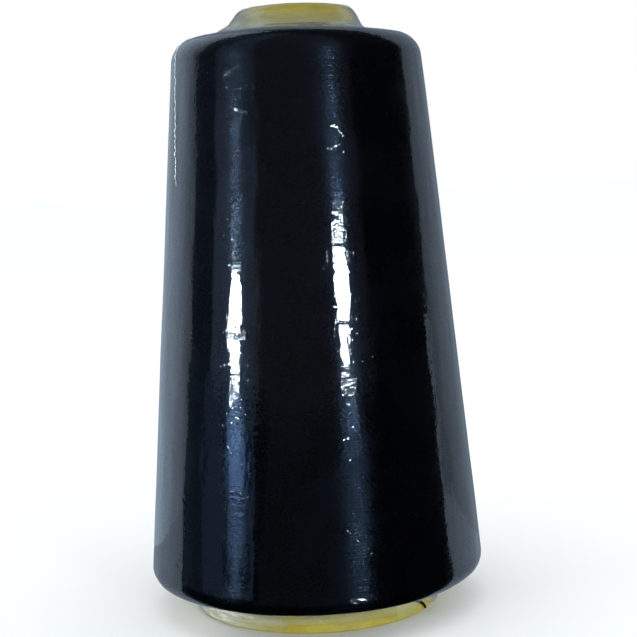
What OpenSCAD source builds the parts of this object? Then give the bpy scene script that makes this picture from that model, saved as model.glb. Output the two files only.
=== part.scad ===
// A cone of sewing thread. A hollow moulded cone core carries a cross-wound package of
// thread; its outer layer is wound to and fro as one strand. The thread's starting tail
// lies on the core's foot, and a clear sleeve is shrunk over the whole cone.
// The cone stands on its foot at z = 0 with its axis along +Z. All sizes are millimetres.

/* [Cone core] */
// Height of the cone core
core_h = 170; // [160:1:190]
// Outside diameter of the core at its foot
core_base_d = 69; // [66:0.5:74]
// Outside diameter that the core's taper reaches at the top of the nose
core_nose_d = 34; // [32:0.5:36]
// Thickness of the moulded wall
core_wall = 1.6; // [1.2:0.1:2]
// Radius that rounds the nose over
nose_round = 4.5; // [3:0.5:5]
// Diameter of the hole through the nose
nose_bore_d = 18; // [12:0.5:18]
// Length of the collar that hangs round the nose hole
collar_h = 9; // [6:0.5:14]
// Radius that rounds the top edge of the nose hole
collar_lip_r = 0.8; // [0.4:0.1:1]
// Height of the thickened ring inside the foot
foot_ring_h = 3; // [2:0.5:6]
// How far the foot ring stands in from the wall
foot_ring_t = 1.2; // [0.6:0.1:2]
// Bevel on the outside edge of the foot
foot_bevel = 0.5; // [0.2:0.1:0.8]

/* [Ribs and grooves] */
// Number of ribs between the nose collar and the wall
nose_ribs = 6; // [3:1:8]
// Number of low ribs inside the foot that grip the winding spindle
foot_ribs = 12; // [6:1:16]
// Height up the core where the foot ribs start
foot_rib_z = 8; // [8:1:20]
// Length of the foot ribs
foot_rib_l = 46; // [20:1:60]
// How far the foot ribs stand in from the wall
foot_rib_in = 0.9; // [0.5:0.1:1.5]
// Thickness of every rib
rib_t = 1.2; // [0.8:0.1:1.6]
// Number of grooves round the core that hold the first turns of thread
grip_grooves = 12; // [4:1:18]
// Depth of the grip grooves
groove_depth = 0.35; // [0.2:0.05:0.5]
// Width of the grip grooves
groove_w = 1.5; // [1:0.1:2.5]
// Height of plain core between the ends of the thread and the nearest groove
groove_margin = 9; // [6:1:20]

/* [Thread package] */
// Height of the core's foot that shows below the thread
foot_show = 9.4; // [7:0.1:14]
// Height of the core's nose that shows above the thread
nose_show = 8.1; // [7:0.1:14]
// Diameter over the thread at its lower end, before the edge is rounded
thread_base_d = 96; // [88:0.5:108]
// Diameter over the thread at its upper end, before the shoulder is rounded
thread_top_d = 69.2; // [68:0.2:80]
// Radius of the rounded lower edge of the thread
thread_edge_r = 3.6; // [3.4:0.1:5]
// Radius of the rounded upper shoulder of the thread
thread_shoulder_r = 6.5; // [5:0.5:9]
// Clearance between the core and the thread wound on it
core_fit = 0.1; // [0.05:0.05:0.3]

/* [Outer winding] */
// Diameter of the wound strand
strand_d = 1; // [0.6:0.1:1.1]
// Turns that the strand makes on its way up, and nearly as many on its way down
turns_up = 12; // [4:1:12]
// Gap between the strand's upward turns and the downward turns that cross them
layer_gap = 0.45; // [0.42:0.01:0.5]
// Clearance under the strand where its turns come nearest to the package
seat_gap = 0.1; // [0.05:0.01:0.15]
// How far the turns run down round the lower edge, in degrees below level
edge_wrap = 50; // [20:5:60]
// How far the turns run up over the shoulder, in degrees above level
shoulder_wrap = 70; // [40:5:75]
// Radius of the bend where each end of the strand turns into the package
end_bend_r = 0.8; // [0.7:0.05:1]
// Side of the cone where the strand starts, in degrees round from +X
strand_start_az = 90; // [0:15:345]

/* [Thread tail] */
// Diameter of the tail
tail_d = 0.5; // [0.3:0.1:0.7]
// Clearance between the tail and what lies on each side of it
tail_gap = 0.08; // [0.05:0.01:0.12]
// Side of the foot where the tail ends, in degrees round from +X
tail_end_az = -31; // [-60:1:60]
// How far round the foot the tail runs, in degrees
tail_sweep = 34; // [8:1:60]
// Height of the tail's cut end above the foot of the core
tail_end_z = 0.6; // [0.5:0.1:2]

/* [Film sleeve] */
// Thickness of the film
film_t = 0.2; // [0.1:0.05:0.3]
// Clearance between the film and the outside of the thread
film_gap = 0.15; // [0.05:0.05:0.3]
// Clearance between the film and the nose of the core
film_nose_gap = 0.3; // [0.1:0.05:0.5]
// Height of the film's lower edge above the foot of the core
film_foot_z = 0.8; // [0.5:0.1:2]
// Radius in which the film leaves the underside of the thread for the foot
film_foot_fillet = 5; // [3:0.5:5]
// Radius in which the film leaves the top of the thread for the nose
film_nose_fillet = 3; // [2:0.5:3]
// How far the film turns over the rounded nose, in degrees above level
film_nose_wrap = 60; // [40:5:80]
// Width of the heat-sealed seam down the side of the sleeve
seam_w = 1; // [0.6:0.1:2]
// How far the seam stands out from the film
seam_t = 0.3; // [0.1:0.05:0.4]
// Side of the cone where the seam runs, in degrees round from +X
seam_az = -158; // [-180:1:180]

/* [Hidden] */

AROUND = 96;          // sides of a revolved solid
ARC_STEPS = 8;        // points along a rounded corner
RINGS_PER_TURN = 24;  // rings of the strand in one turn
STRAND_SIDES = 6;     // sides of the strand
TAIL_SIDES = 8;       // sides of the tail
TAIL_RINGS = 12;      // rings along the tail
BEND_STEPS = 3;       // rings in the bend at each end of the strand
REVERSAL = 0.25;      // half the width of the turn-round at the top, in turns
LAST_TURN = 0.25;     // part of a turn that the strand stops short of its start
OVERLAP = 0.3;        // how far a rib runs into the wall that carries it
END_FACE_GAP = 0.02;  // how far the strand's and the tail's end faces stand off the package

core_taper = atan((core_base_d - core_nose_d) / 2 / core_h);
bore_r = nose_bore_d / 2;
wall_r = core_wall / cos(core_taper);
thread_z0 = foot_show;
thread_z1 = core_h - nose_show;
thread_taper = atan((thread_base_d - thread_top_d) / 2 / (thread_z1 - thread_z0));

// The strand's rings are joined by straight chords, which dip below the true circle.
chord_dip = thread_base_d / 2 * (1 - cos(180 / RINGS_PER_TURN));
layer_step = strand_d + layer_gap;
inner_lift = seat_gap + chord_dip + strand_d / 2;
winding_t = inner_lift + layer_step + strand_d / 2;
tail_room = tail_d + 2 * tail_gap;

// A point at a radius and an angle in the plane of a section.
function polar(r, angle) = [r * cos(angle), r * sin(angle)];

// Points along an arc of a section, from one angle to another.
function arc_points(centre, r, from, to) =
    [for (k = [0 : ARC_STEPS]) centre + polar(r, from + (to - from) * k / ARC_STEPS)];

// Centre of the arc that rounds the corner of a tapered wall. The wall would reach the
// level z at radius r. The end is +1 for an upper corner and -1 for a lower one.
function corner_centre(r, z, taper, round_r, end) =
    [r - round_r * (1 - end * sin(taper)) / cos(taper), z - end * round_r];

// Centre of the arc that fills the hollow between a level face at z and the core, on the
// side of the face away from the thread. The core is clear of the arc by gap.
function hollow_centre(z, fillet_r, gap, end) =
    let (centre_z = z + end * fillet_r)
    [core_r(centre_z) + (gap + fillet_r) / cos(core_taper), centre_z];

// Outside radius of the core's straight taper at a height.
function core_r(z) = core_base_d / 2 - z * tan(core_taper);

nose_centre = corner_centre(core_nose_d / 2, core_h, core_taper, nose_round, 1);
edge_centre =
    corner_centre(thread_base_d / 2, thread_z0, thread_taper, thread_edge_r, -1);
shoulder_centre =
    corner_centre(thread_top_d / 2, thread_z1, thread_taper, thread_shoulder_r, 1);
foot_hollow = hollow_centre(thread_z0 - film_gap, film_foot_fillet, tail_room, -1);
nose_hollow = hollow_centre(thread_z1 + film_gap, film_nose_fillet, film_nose_gap, 1);

// ---------------------------------------------------------------- cone core

// Half section of the core: the tapered wall, the rounded nose with its hanging collar,
// and the thickened ring inside the foot.
function core_section() = concat(
    [[core_base_d / 2 - foot_bevel, 0], [core_r(foot_bevel), foot_bevel]],
    arc_points(nose_centre, nose_round, core_taper, 90),
    arc_points([bore_r + collar_lip_r, core_h - collar_lip_r], collar_lip_r, 90, 180),
    [
        [bore_r, core_h - collar_h],
        [bore_r + core_wall, core_h - collar_h],
        [bore_r + core_wall, core_h - core_wall]
    ],
    arc_points(nose_centre, nose_round - core_wall, 90, core_taper),
    [
        [core_r(foot_ring_h + foot_ring_t) - wall_r, foot_ring_h + foot_ring_t],
        [core_r(foot_ring_h) - wall_r - foot_ring_t, foot_ring_h],
        [core_base_d / 2 - wall_r - foot_ring_t, 0]
    ]);

// Round-bottomed grooves in the outside of the wall, under the thread.
module groove_cutters() {
    groove_r = (pow(groove_w / 2, 2) + pow(groove_depth, 2)) / (2 * groove_depth);
    low = thread_z0 + groove_margin;
    high = thread_z1 - groove_margin;
    for (k = [0 : grip_grooves - 1]) {
        z = low + (high - low) * k / (grip_grooves - 1);
        translate([core_r(z), z] + polar(groove_r - groove_depth, core_taper))
            circle(r = groove_r, $fn = 48);
    }
}

// A thin plate that stands in the plane of the axis, with its outline in [radius, height].
module radial_rib(outline, azimuth) {
    rotate([90, 0, azimuth])
        linear_extrude(rib_t, center = true)
            polygon(outline);
}

// The ribs that join the nose collar to the wall.
module nose_rib_set() {
    top = core_h - core_wall + OVERLAP;
    low = core_h - collar_h;
    drop = low - (core_r(low) - wall_r - bore_r - core_wall);
    outline = [
        [bore_r + core_wall - OVERLAP, low],
        [bore_r + core_wall - OVERLAP, top],
        [nose_centre[0], top],
        [core_r(nose_centre[1]) - wall_r + OVERLAP, nose_centre[1]],
        [core_r(drop) - wall_r + OVERLAP, drop]
    ];
    for (k = [0 : nose_ribs - 1])
        radial_rib(outline, k * 360 / nose_ribs);
}

// The low ribs inside the foot, which grip the spindle that the thread is wound on.
module foot_rib_set() {
    z0 = foot_rib_z;
    z1 = foot_rib_z + foot_rib_l;
    outline = [
        [core_r(z0) - wall_r + OVERLAP, z0],
        [core_r(z0) - wall_r - foot_rib_in, z0 + foot_rib_in],
        [core_r(z1) - wall_r - foot_rib_in, z1 - foot_rib_in],
        [core_r(z1) - wall_r + OVERLAP, z1]
    ];
    for (k = [0 : foot_ribs - 1])
        radial_rib(outline, (k + 0.5) * 360 / foot_ribs);
}

module cone_core() {
    color([0.86, 0.79, 0.36]) {
        rotate_extrude($fn = AROUND)
            difference() {
                polygon(core_section());
                groove_cutters();
            }
        nose_rib_set();
        foot_rib_set();
    }
}

// ---------------------------------------------------------------- thread package

// The wound body under the outer layer. It follows the outside of the thread, set in by
// the thickness of that layer.
module thread_package() {
    section = concat(
        arc_points(edge_centre, thread_edge_r - winding_t, -90, thread_taper),
        arc_points(shoulder_centre, thread_shoulder_r - winding_t, thread_taper, 90),
        [
            [core_r(thread_z1 - winding_t) + core_fit, thread_z1 - winding_t],
            [core_r(thread_z0 + winding_t) + core_fit, thread_z0 + winding_t]
        ]);
    color([0.09, 0.1, 0.18])
        rotate_extrude($fn = AROUND)
            polygon(section);
}

// ---------------------------------------------------------------- outer winding

// The strand is laid along the package's outline: round the lower edge, up the side and
// over the shoulder. These are the ends of the side and the lengths of the stretches.
edge_top = edge_centre + polar(thread_edge_r - winding_t, thread_taper);
shoulder_foot = shoulder_centre + polar(thread_shoulder_r - winding_t, thread_taper);
edge_run = (thread_edge_r - winding_t) * (edge_wrap + thread_taper) * PI / 180;
side_run = norm(shoulder_foot - edge_top);
shoulder_run = (thread_shoulder_r - winding_t) * (shoulder_wrap - thread_taper) * PI / 180;
whole_run = edge_run + side_run + shoulder_run;

turns_total = 2 * turns_up - LAST_TURN;
ring_total = round(turns_total * RINGS_PER_TURN);
pitch = whole_run / (turns_up - REVERSAL / 2);

// Angle of the outline's outward normal at a run along it.
function run_normal(run) =
    run < edge_run ? thread_taper - (edge_run - run) / edge_run * (edge_wrap + thread_taper)
    : run < edge_run + side_run ? thread_taper
    : thread_taper + (run - edge_run - side_run) / shoulder_run * (shoulder_wrap - thread_taper);

// Point of the outline at a run along it, lifted off the package along the normal.
function run_point(run, lift) =
    run < edge_run
        ? edge_centre + polar(thread_edge_r - winding_t + lift, run_normal(run))
    : run < edge_run + side_run
        ? edge_top + (shoulder_foot - edge_top) * (run - edge_run) / side_run
            + polar(lift, thread_taper)
    : shoulder_centre + polar(thread_shoulder_r - winding_t + lift, run_normal(run));

// The traverse climbs for the turns up and falls for the turns down, and rounds off the
// turn-round between them.
function from_top(turn) =
    let (past = abs(turn - turns_up))
    past < REVERSAL ? past * past / (2 * REVERSAL) + REVERSAL / 2 : past;

function run_at(turn) = pitch * (turns_up - from_top(turn));

// The strand rises from the inner to the outer layer during the turn-round.
function lift_at(turn) =
    let (part = min(1, max(0, (turn - turns_up + REVERSAL) / (2 * REVERSAL))))
    inner_lift + layer_step * (3 - 2 * part) * part * part;

// A point or direction of a section, turned to an azimuth round the axis.
function around(section, azimuth) =
    [section[0] * cos(azimuth), section[0] * sin(azimuth), section[1]];

function azimuth_at(turn) = strand_start_az + 360 * turn;

function strand_point(turn) = around(run_point(run_at(turn), lift_at(turn)), azimuth_at(turn));

function outward_at(turn) = around(polar(1, run_normal(run_at(turn))), azimuth_at(turn));

function unit(v) = v / norm(v);

// Direction of the strand at a turn, from its points just before and after it.
function strand_way(turn) = unit(strand_point(turn + 0.01) - strand_point(turn - 0.01));

// One end of the strand: it stands straight out of the package and bends into the turn.
// Each ring is [centre, direction], listed from the package outwards.
function end_rings(turn, way) =
    let (
        out = outward_at(turn),
        flat_way = unit(way - (way * out) * out),
        bend_lift = max(lift_at(turn), strand_d + end_bend_r) - end_bend_r,
        seat = strand_point(turn) - lift_at(turn) * out - end_bend_r * flat_way,
        hub = seat + bend_lift * out + end_bend_r * flat_way
    )
    concat(
        [[seat + END_FACE_GAP * out, out]],
        [for (k = [0 : BEND_STEPS])
            let (a = 90 * k / BEND_STEPS)
            [
                hub - end_bend_r * cos(a) * flat_way + end_bend_r * sin(a) * out,
                cos(a) * out + sin(a) * flat_way
            ]]);

function reversed(list) = [for (k = [len(list) - 1 : -1 : 0]) list[k]];

// The whole strand as rings of [centre, direction], from its first end to its last.
strand_rings = concat(
    end_rings(0, strand_way(0)),
    [for (k = [1 : ring_total - 1])
        let (turn = k / RINGS_PER_TURN) [strand_point(turn), strand_way(turn)]],
    [for (ring = reversed(end_rings(turns_total, -strand_way(turns_total))))
        [ring[0], -ring[1]]]);

// Corners of one ring: a polygon square to its direction, with its sides kept level.
function ring_corners(ring, upward, width, sides) =
    let (
        way = ring[1],
        across = unit(cross(way, upward)),
        up = cross(across, way)
    )
    [for (k = [0 : sides - 1])
        let (a = 360 * (k + 0.5) / sides)
        ring[0] + width / 2 * (cos(a) * across + sin(a) * up)];

// Triangles of a tube of rings, with both ends closed.
function tube_faces(rings, sides) = concat(
    [for (k = [1 : sides - 2]) [0, k + 1, k]],
    [for (i = [0 : rings - 2], k = [0 : sides - 1], half = [0, 1])
        let (
            a = i * sides + k,
            b = i * sides + (k + 1) % sides
        )
        half == 0 ? [a, b, b + sides] : [a, b + sides, a + sides]],
    let (last = (rings - 1) * sides)
    [for (k = [1 : sides - 2]) [last, last + k, last + k + 1]]);

// Least gap between stretches of the strand that are half a turn or more apart.
strand_gap = min([
    for (i = [0 : len(strand_rings) - 1])
        for (j = [i + RINGS_PER_TURN / 2 : 1 : len(strand_rings) - 1])
            norm(strand_rings[i][0] - strand_rings[j][0])
]) - strand_d;

module outer_winding() {
    echo("least gap of the strand to itself", strand_gap);
    corners = [
        for (ring = strand_rings)
            each ring_corners(ring, [0, 0, 1], strand_d, STRAND_SIDES)
    ];
    color([0.13, 0.15, 0.27])
        polyhedron(corners, tube_faces(len(strand_rings), STRAND_SIDES), convexity = 10);
}

// ---------------------------------------------------------------- thread tail

tail_top_z = thread_z0 + winding_t - END_FACE_GAP;

// The tail hangs square from the underside of the package for one diameter, and then
// runs down and round the foot of the core.
function tail_point(part) =
    let (
        fall = tail_top_z - tail_d - tail_end_z,
        z = part < 0 ? tail_top_z : tail_top_z - tail_d - fall * part,
        run = max(part, 0),
        azimuth = tail_end_az - tail_sweep * (1 - run * run * (3 - 2 * run)),
        r = core_r(min(z, tail_top_z - tail_d)) + (tail_gap + tail_d / 2) / cos(core_taper)
    )
    [r * cos(azimuth), r * sin(azimuth), z];

module thread_tail() {
    points = concat(
        [tail_point(-1)],
        [for (k = [0 : TAIL_RINGS]) tail_point(k / TAIL_RINGS)]);
    last = len(points) - 1;
    rings = [for (k = [0 : last])
        [points[k], k < 2 ? [0, 0, -1] : unit(points[min(k + 1, last)] - points[k - 1])]];
    corners = [
        for (ring = rings)
            each ring_corners(ring, unit([ring[0][0], ring[0][1], 0]), tail_d, TAIL_SIDES)
    ];
    color([0.09, 0.1, 0.18])
        polyhedron(corners, tube_faces(len(rings), TAIL_SIDES), convexity = 4);
}

// ---------------------------------------------------------------- film sleeve

// Outline of the side of the sleeve, round the outside of the thread. The lift is
// measured from the film's inner face.
function film_side(lift) = concat(
    arc_points(edge_centre, thread_edge_r + film_gap + lift, -90, thread_taper),
    arc_points(shoulder_centre, thread_shoulder_r + film_gap + lift, thread_taper, 90));

// Outline of the whole sleeve, from the foot of the core to the top of its nose.
function film_outline(lift) = concat(
    [[core_r(film_foot_z) + (tail_room + lift) / cos(core_taper), film_foot_z]],
    arc_points(foot_hollow, film_foot_fillet - lift, 180 + core_taper, 90),
    film_side(lift),
    arc_points(nose_hollow, film_nose_fillet - lift, 270, 180 + core_taper),
    arc_points(nose_centre, nose_round + film_nose_gap + lift, core_taper, film_nose_wrap));

module film_wrap() {
    seam_angle = seam_w / (thread_base_d / 2) * 180 / PI;
    color([0.8, 0.84, 0.88, 0.3]) {
        rotate_extrude($fn = AROUND)
            polygon(concat(film_outline(0), reversed(film_outline(film_t))));
        rotate([0, 0, seam_az - seam_angle / 2])
            rotate_extrude(angle = seam_angle, $fn = AROUND)
                polygon(concat(film_side(film_t / 2), reversed(film_side(film_t + seam_t))));
    }
}

cone_core();
thread_package();
outer_winding();
thread_tail();
film_wrap();
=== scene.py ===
"""Dresses a cone of sewing thread: its moulded core, the wound thread, the thread's starting
tail and the clear sleeve shrunk over them.

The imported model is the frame. The cone's sizes are millimetres until a mesh is made, with
the cone standing on its foot at z = 0 and its axis along +Z. The studio is in metres.
"""

import logging
import math
from dataclasses import dataclass
from enum import Enum
from functools import reduce

import bpy
import numpy as np
from mathutils import Matrix, Vector

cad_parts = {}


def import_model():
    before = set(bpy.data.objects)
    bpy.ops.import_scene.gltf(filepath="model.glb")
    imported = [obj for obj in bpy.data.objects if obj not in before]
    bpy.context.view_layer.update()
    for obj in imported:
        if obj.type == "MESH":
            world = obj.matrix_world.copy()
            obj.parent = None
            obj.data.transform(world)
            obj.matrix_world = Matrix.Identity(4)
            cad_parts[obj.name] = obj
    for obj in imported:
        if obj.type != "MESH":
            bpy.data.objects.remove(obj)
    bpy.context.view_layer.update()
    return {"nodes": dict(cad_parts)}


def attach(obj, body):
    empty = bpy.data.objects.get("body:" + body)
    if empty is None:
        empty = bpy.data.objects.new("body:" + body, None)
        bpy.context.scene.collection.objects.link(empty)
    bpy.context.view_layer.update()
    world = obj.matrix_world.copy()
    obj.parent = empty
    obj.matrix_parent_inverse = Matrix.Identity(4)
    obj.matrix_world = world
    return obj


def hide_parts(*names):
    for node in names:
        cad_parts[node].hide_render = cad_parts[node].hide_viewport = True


MM = 0.001
BODY = "root"
ARC_POINTS = 33
ENDLESS = 1e9
WHITE = (1.0, 1.0, 1.0, 1.0)
LOG = logging.getLogger("thread_cone")

Socket = bpy.types.NodeSocket
Source = Socket | float | int | tuple
Pair = tuple[float, float]


class Slot(Enum):
    """Material slots that the record names, for the pieces made here."""

    THREAD = "thread"
    OUTER = "thread_outer"
    FILM = "film"


class Side(Enum):
    """Directions round the cone, in degrees from +X."""

    RIGHT = 0.0
    BACK = 90.0
    LEFT = 180.0
    FRONT_LEFT = -130.0
    FRONT = -90.0


class Stretch(Enum):
    """Stretches of the film's outline, in order from the foot of the core to its nose."""

    HEM = "hem"
    FOOT_HOLLOW = "hollow below the thread"
    EDGE = "thread's lower edge"
    SHOULDER = "thread's upper shoulder"
    NOSE_HOLLOW = "hollow above the thread"
    NOSE = "rounded nose"


# ------------------------------------------------------------------------------ shapes


def smoothstep(low: float, high: float, value: np.ndarray) -> np.ndarray:
    """Eases from 0 to 1 between two values.

    Args:
        low: Where the result leaves 0.
        high: Where the result reaches 1.
        value: The values to ease.

    Returns:
        The eased values, from 0 to 1.
    """
    part = np.clip((value - low) / (high - low), 0.0, 1.0)
    return part * part * (3.0 - 2.0 * part)


def bell(value: np.ndarray, width: float) -> np.ndarray:
    """A soft bump of height 1 where the value is 0, which fades over a width."""
    return np.exp(-((value / width) ** 2))


def unit(vectors: np.ndarray) -> np.ndarray:
    """Vectors of length 1, along the last axis."""
    return vectors / np.linalg.norm(vectors, axis=-1, keepdims=True)


def distances(points: np.ndarray) -> np.ndarray:
    """Distance of each point of a path from its start."""
    return np.concatenate([[0.0], np.cumsum(np.linalg.norm(np.diff(points, axis=0), axis=1))])


def span(points: np.ndarray) -> float:
    """Whole length of a path."""
    return float(np.linalg.norm(np.diff(points, axis=0), axis=1).sum())


def arc(centre: Pair, radius: float, start: float, end: float) -> np.ndarray:
    """Points along an arc of a half section.

    Args:
        centre: Radius and height of the arc's centre.
        radius: Radius of the arc.
        start: Angle of the first point, in degrees above level.
        end: Angle of the last point.

    Returns:
        An array of (radius, height) rows.
    """
    angle = np.radians(np.linspace(start, end, ARC_POINTS))
    return np.stack(
        [centre[0] + radius * np.cos(angle), centre[1] + radius * np.sin(angle)], axis=1
    )


def corner_centre(radius: float, height: float, taper: float, rounding: float, end: int) -> Pair:
    """Centre of the arc that rounds the end of a tapered wall.

    Args:
        radius: Radius that the wall would reach at the end, before rounding.
        height: Height of the end.
        taper: The wall's taper, in radians.
        rounding: Radius of the rounding.
        end: 1 for an upper end and -1 for a lower one.

    Returns:
        Radius and height of the centre.
    """
    inset = rounding * (1 - end * math.sin(taper)) / math.cos(taper)
    return radius - inset, height - end * rounding


def stations(section: np.ndarray, spacing: "tuple[Pair, ...]", even: bool = False) -> np.ndarray:
    """Distances along a section at which its rows are placed.

    Args:
        section: The section's points.
        spacing: Pairs of a length of the section and the gap between rows in it; the last
            pair holds to the end.
        even: Splits the first gap if that makes the number of gaps even.

    Returns:
        Increasing distances from the section's start to its end.
    """
    total = span(section)
    rows, start = [np.zeros(1)], 0.0
    for length, gap in spacing:
        end = min(start + length, total)
        if end > start:
            count = max(1, round((end - start) / gap))
            rows.append(np.linspace(start, end, count + 1)[1:])
        start = end
    found = np.concatenate(rows)
    if even and len(found) % 2 == 0:
        found = np.insert(found, 1, found[1] / 2)
    return found


def along(
    section: np.ndarray, distance: np.ndarray, reach: float = 0.15
) -> tuple[np.ndarray, np.ndarray]:
    """Points and outward normals of a section at distances along it.

    Args:
        section: The section's points, from the foot up its outside.
        distance: Distances along the section, of any shape.
        reach: How far to each side of a point its normal is measured.

    Returns:
        Points and unit normals, each with a last axis of (radius, height).
    """
    run = distances(section)
    keep = np.concatenate([[True], np.diff(run) > 0])
    run, points = run[keep], section[keep]

    def at(place: np.ndarray) -> np.ndarray:
        """The section's point at each distance."""
        return np.stack([np.interp(place, run, points[:, k]) for k in (0, 1)], axis=-1)

    ahead, behind = np.clip(distance + reach, 0, run[-1]), np.clip(distance - reach, 0, run[-1])
    way = unit(at(ahead) - at(behind))
    return at(distance), np.stack([way[..., 1], -way[..., 0]], axis=-1)


@dataclass(frozen=True)
class Ripples:
    """Smooth random relief that closes round the cone.

    height is its rms height, waves the usual number of waves in one turn, seed picks one
    pattern and wavelength is the usual length of a wave along the section.
    """

    height: float
    waves: float
    seed: int
    wavelength: float = ENDLESS
    count: int = 36

    def over(self, azimuth: np.ndarray, length: "np.ndarray | float" = 0.0) -> np.ndarray:
        """The relief.

        Args:
            azimuth: Azimuths, in radians.
            length: Distances along the section.

        Returns:
            The relief for each azimuth and distance.
        """
        rng = np.random.default_rng(self.seed)
        total = np.zeros(np.broadcast(azimuth, length).shape)
        for _ in range(self.count):
            turns = round(rng.normal(0.0, self.waves))
            pull = rng.normal(0.0, 2 * math.pi / self.wavelength)
            total += np.sin(turns * azimuth + pull * length + rng.uniform(0, 2 * math.pi))
        return self.height * (total * math.sqrt(2.0 / self.count))


def bearing(azimuth: np.ndarray, degrees: float) -> np.ndarray:
    """Signed angle from a direction round the cone, in degrees from -180 to 180."""
    return (np.degrees(azimuth) - degrees + 180.0) % 360.0 - 180.0


def quads(rows: int, columns: int, flip: bool = False) -> np.ndarray:
    """Faces of a sheet of vertices that closes round its columns.

    Args:
        rows: Number of rows of vertices.
        columns: Number of vertices in a row.
        flip: Turns the faces over.

    Returns:
        One row of four vertex numbers for each face.
    """
    row, column = np.meshgrid(np.arange(rows - 1), np.arange(columns), indexing="ij")
    here, after = row * columns + column, row * columns + (column + 1) % columns
    faces = np.stack([here, after, after + columns, here + columns], axis=-1).reshape(-1, 4)
    return faces[:, ::-1] if flip else faces


def around(azimuth: np.ndarray, radius: np.ndarray, height: np.ndarray) -> np.ndarray:
    """Points in space from azimuth, radius and height, with a last axis of three."""
    azimuth, radius, height = np.broadcast_arrays(azimuth, radius, height)
    return np.stack([radius * np.cos(azimuth), radius * np.sin(azimuth), height], axis=-1)


def frame_along(centre: np.ndarray, outward: np.ndarray) -> tuple[np.ndarray, np.ndarray]:
    """Directions across and out of a strand, at each point of its path.

    Args:
        centre: Points of the path.
        outward: A direction at each point that is roughly outward.

    Returns:
        Unit directions across the strand, and outward at right angles to it.
    """
    way = unit(np.gradient(centre, axis=0))
    across = unit(np.cross(way, outward))
    return across, np.cross(across, way)


def make_piece(
    name: str,
    points: np.ndarray,
    faces: list,
    material: bpy.types.Material,
    values: "dict[str, np.ndarray] | None" = None,
    normals: "np.ndarray | None" = None,
) -> bpy.types.Object:
    """Makes a smooth-shaded mesh that rides on the cone.

    Args:
        name: Name of the piece.
        points: Vertices, in millimetres.
        faces: Vertex numbers of the faces.
        material: Its finish.
        values: Extra numbers for each vertex, by attribute name.
        normals: Normals for each vertex, where they aren't the mesh's own.

    Returns:
        The new object.
    """
    mesh = bpy.data.meshes.new(name)
    mesh.from_pydata((points * MM).tolist(), [], faces)
    mesh.update()
    mesh.shade_smooth()
    if normals is not None:
        mesh.normals_split_custom_set_from_vertices(normals.tolist())
    for key, numbers in (values or {}).items():
        layer = mesh.attributes.new(key, "FLOAT", "POINT")
        layer.data.foreach_set("value", np.ascontiguousarray(numbers, np.float32).ravel())
    mesh.materials.append(material)
    piece = bpy.data.objects.new(name, mesh)
    bpy.context.scene.collection.objects.link(piece)
    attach(piece, BODY)
    LOG.info("%s: %d vertices, %d faces", name, len(mesh.vertices), len(mesh.polygons))
    return piece


@dataclass(frozen=True)
class Strand:
    """The form of a closed strand that is swept along a path.

    A flat strand turns a side outward, and not a corner. Its shading is that of its two
    broad faces, and leans by soft_edge towards its long edges.
    """

    sides: int = 4
    flat: bool = False
    soft_edge: float = 0.12

    def sweep(
        self,
        name: str,
        centre: np.ndarray,
        outward: np.ndarray,
        size: np.ndarray,
        slot: Slot,
        material: bpy.types.Material,
    ) -> bpy.types.Object:
        """Makes one strand along a path.

        Args:
            name: Name of the piece.
            centre: Points of the path.
            outward: Direction of the strand's outer face at each point.
            size: Rows of width and depth, for each point or one for them all.
            slot: The record's slot for its finish; not used.
            material: Its finish.

        Returns:
            The piece.
        """
        sides, count = self.sides, len(centre)
        across, lift = frame_along(centre, outward)
        angle = 2 * math.pi * (np.arange(sides) + 0.5 * self.flat) / sides
        half = np.broadcast_to(size, (count, 2))
        half = half / (2 * math.cos(math.pi / sides) if self.flat else 2)
        points = (
            centre[:, None]
            + across[:, None] * (half[:, :1] * np.cos(angle))[..., None]
            + lift[:, None] * (half[:, 1:] * np.sin(angle))[..., None]
        )
        values = {
            "run": np.repeat(distances(centre), sides),
            "round": np.tile(angle / (2 * math.pi), count),
        }
        faces = quads(count, sides, flip=True).tolist()
        faces += [list(range(sides)), [count * sides - 1 - k for k in range(sides)]]
        normals = None
        if self.flat:
            faced = lift[:, None] * np.sign(np.sin(angle))[:, None]
            edged = self.soft_edge * across[:, None] * np.sign(np.cos(angle))[:, None]
            normals = unit(faced + edged).reshape(-1, 3)
        return make_piece(name, points.reshape(-1, 3), faces, material, values, normals)


# ------------------------------------------------------------------------------- nodes


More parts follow.
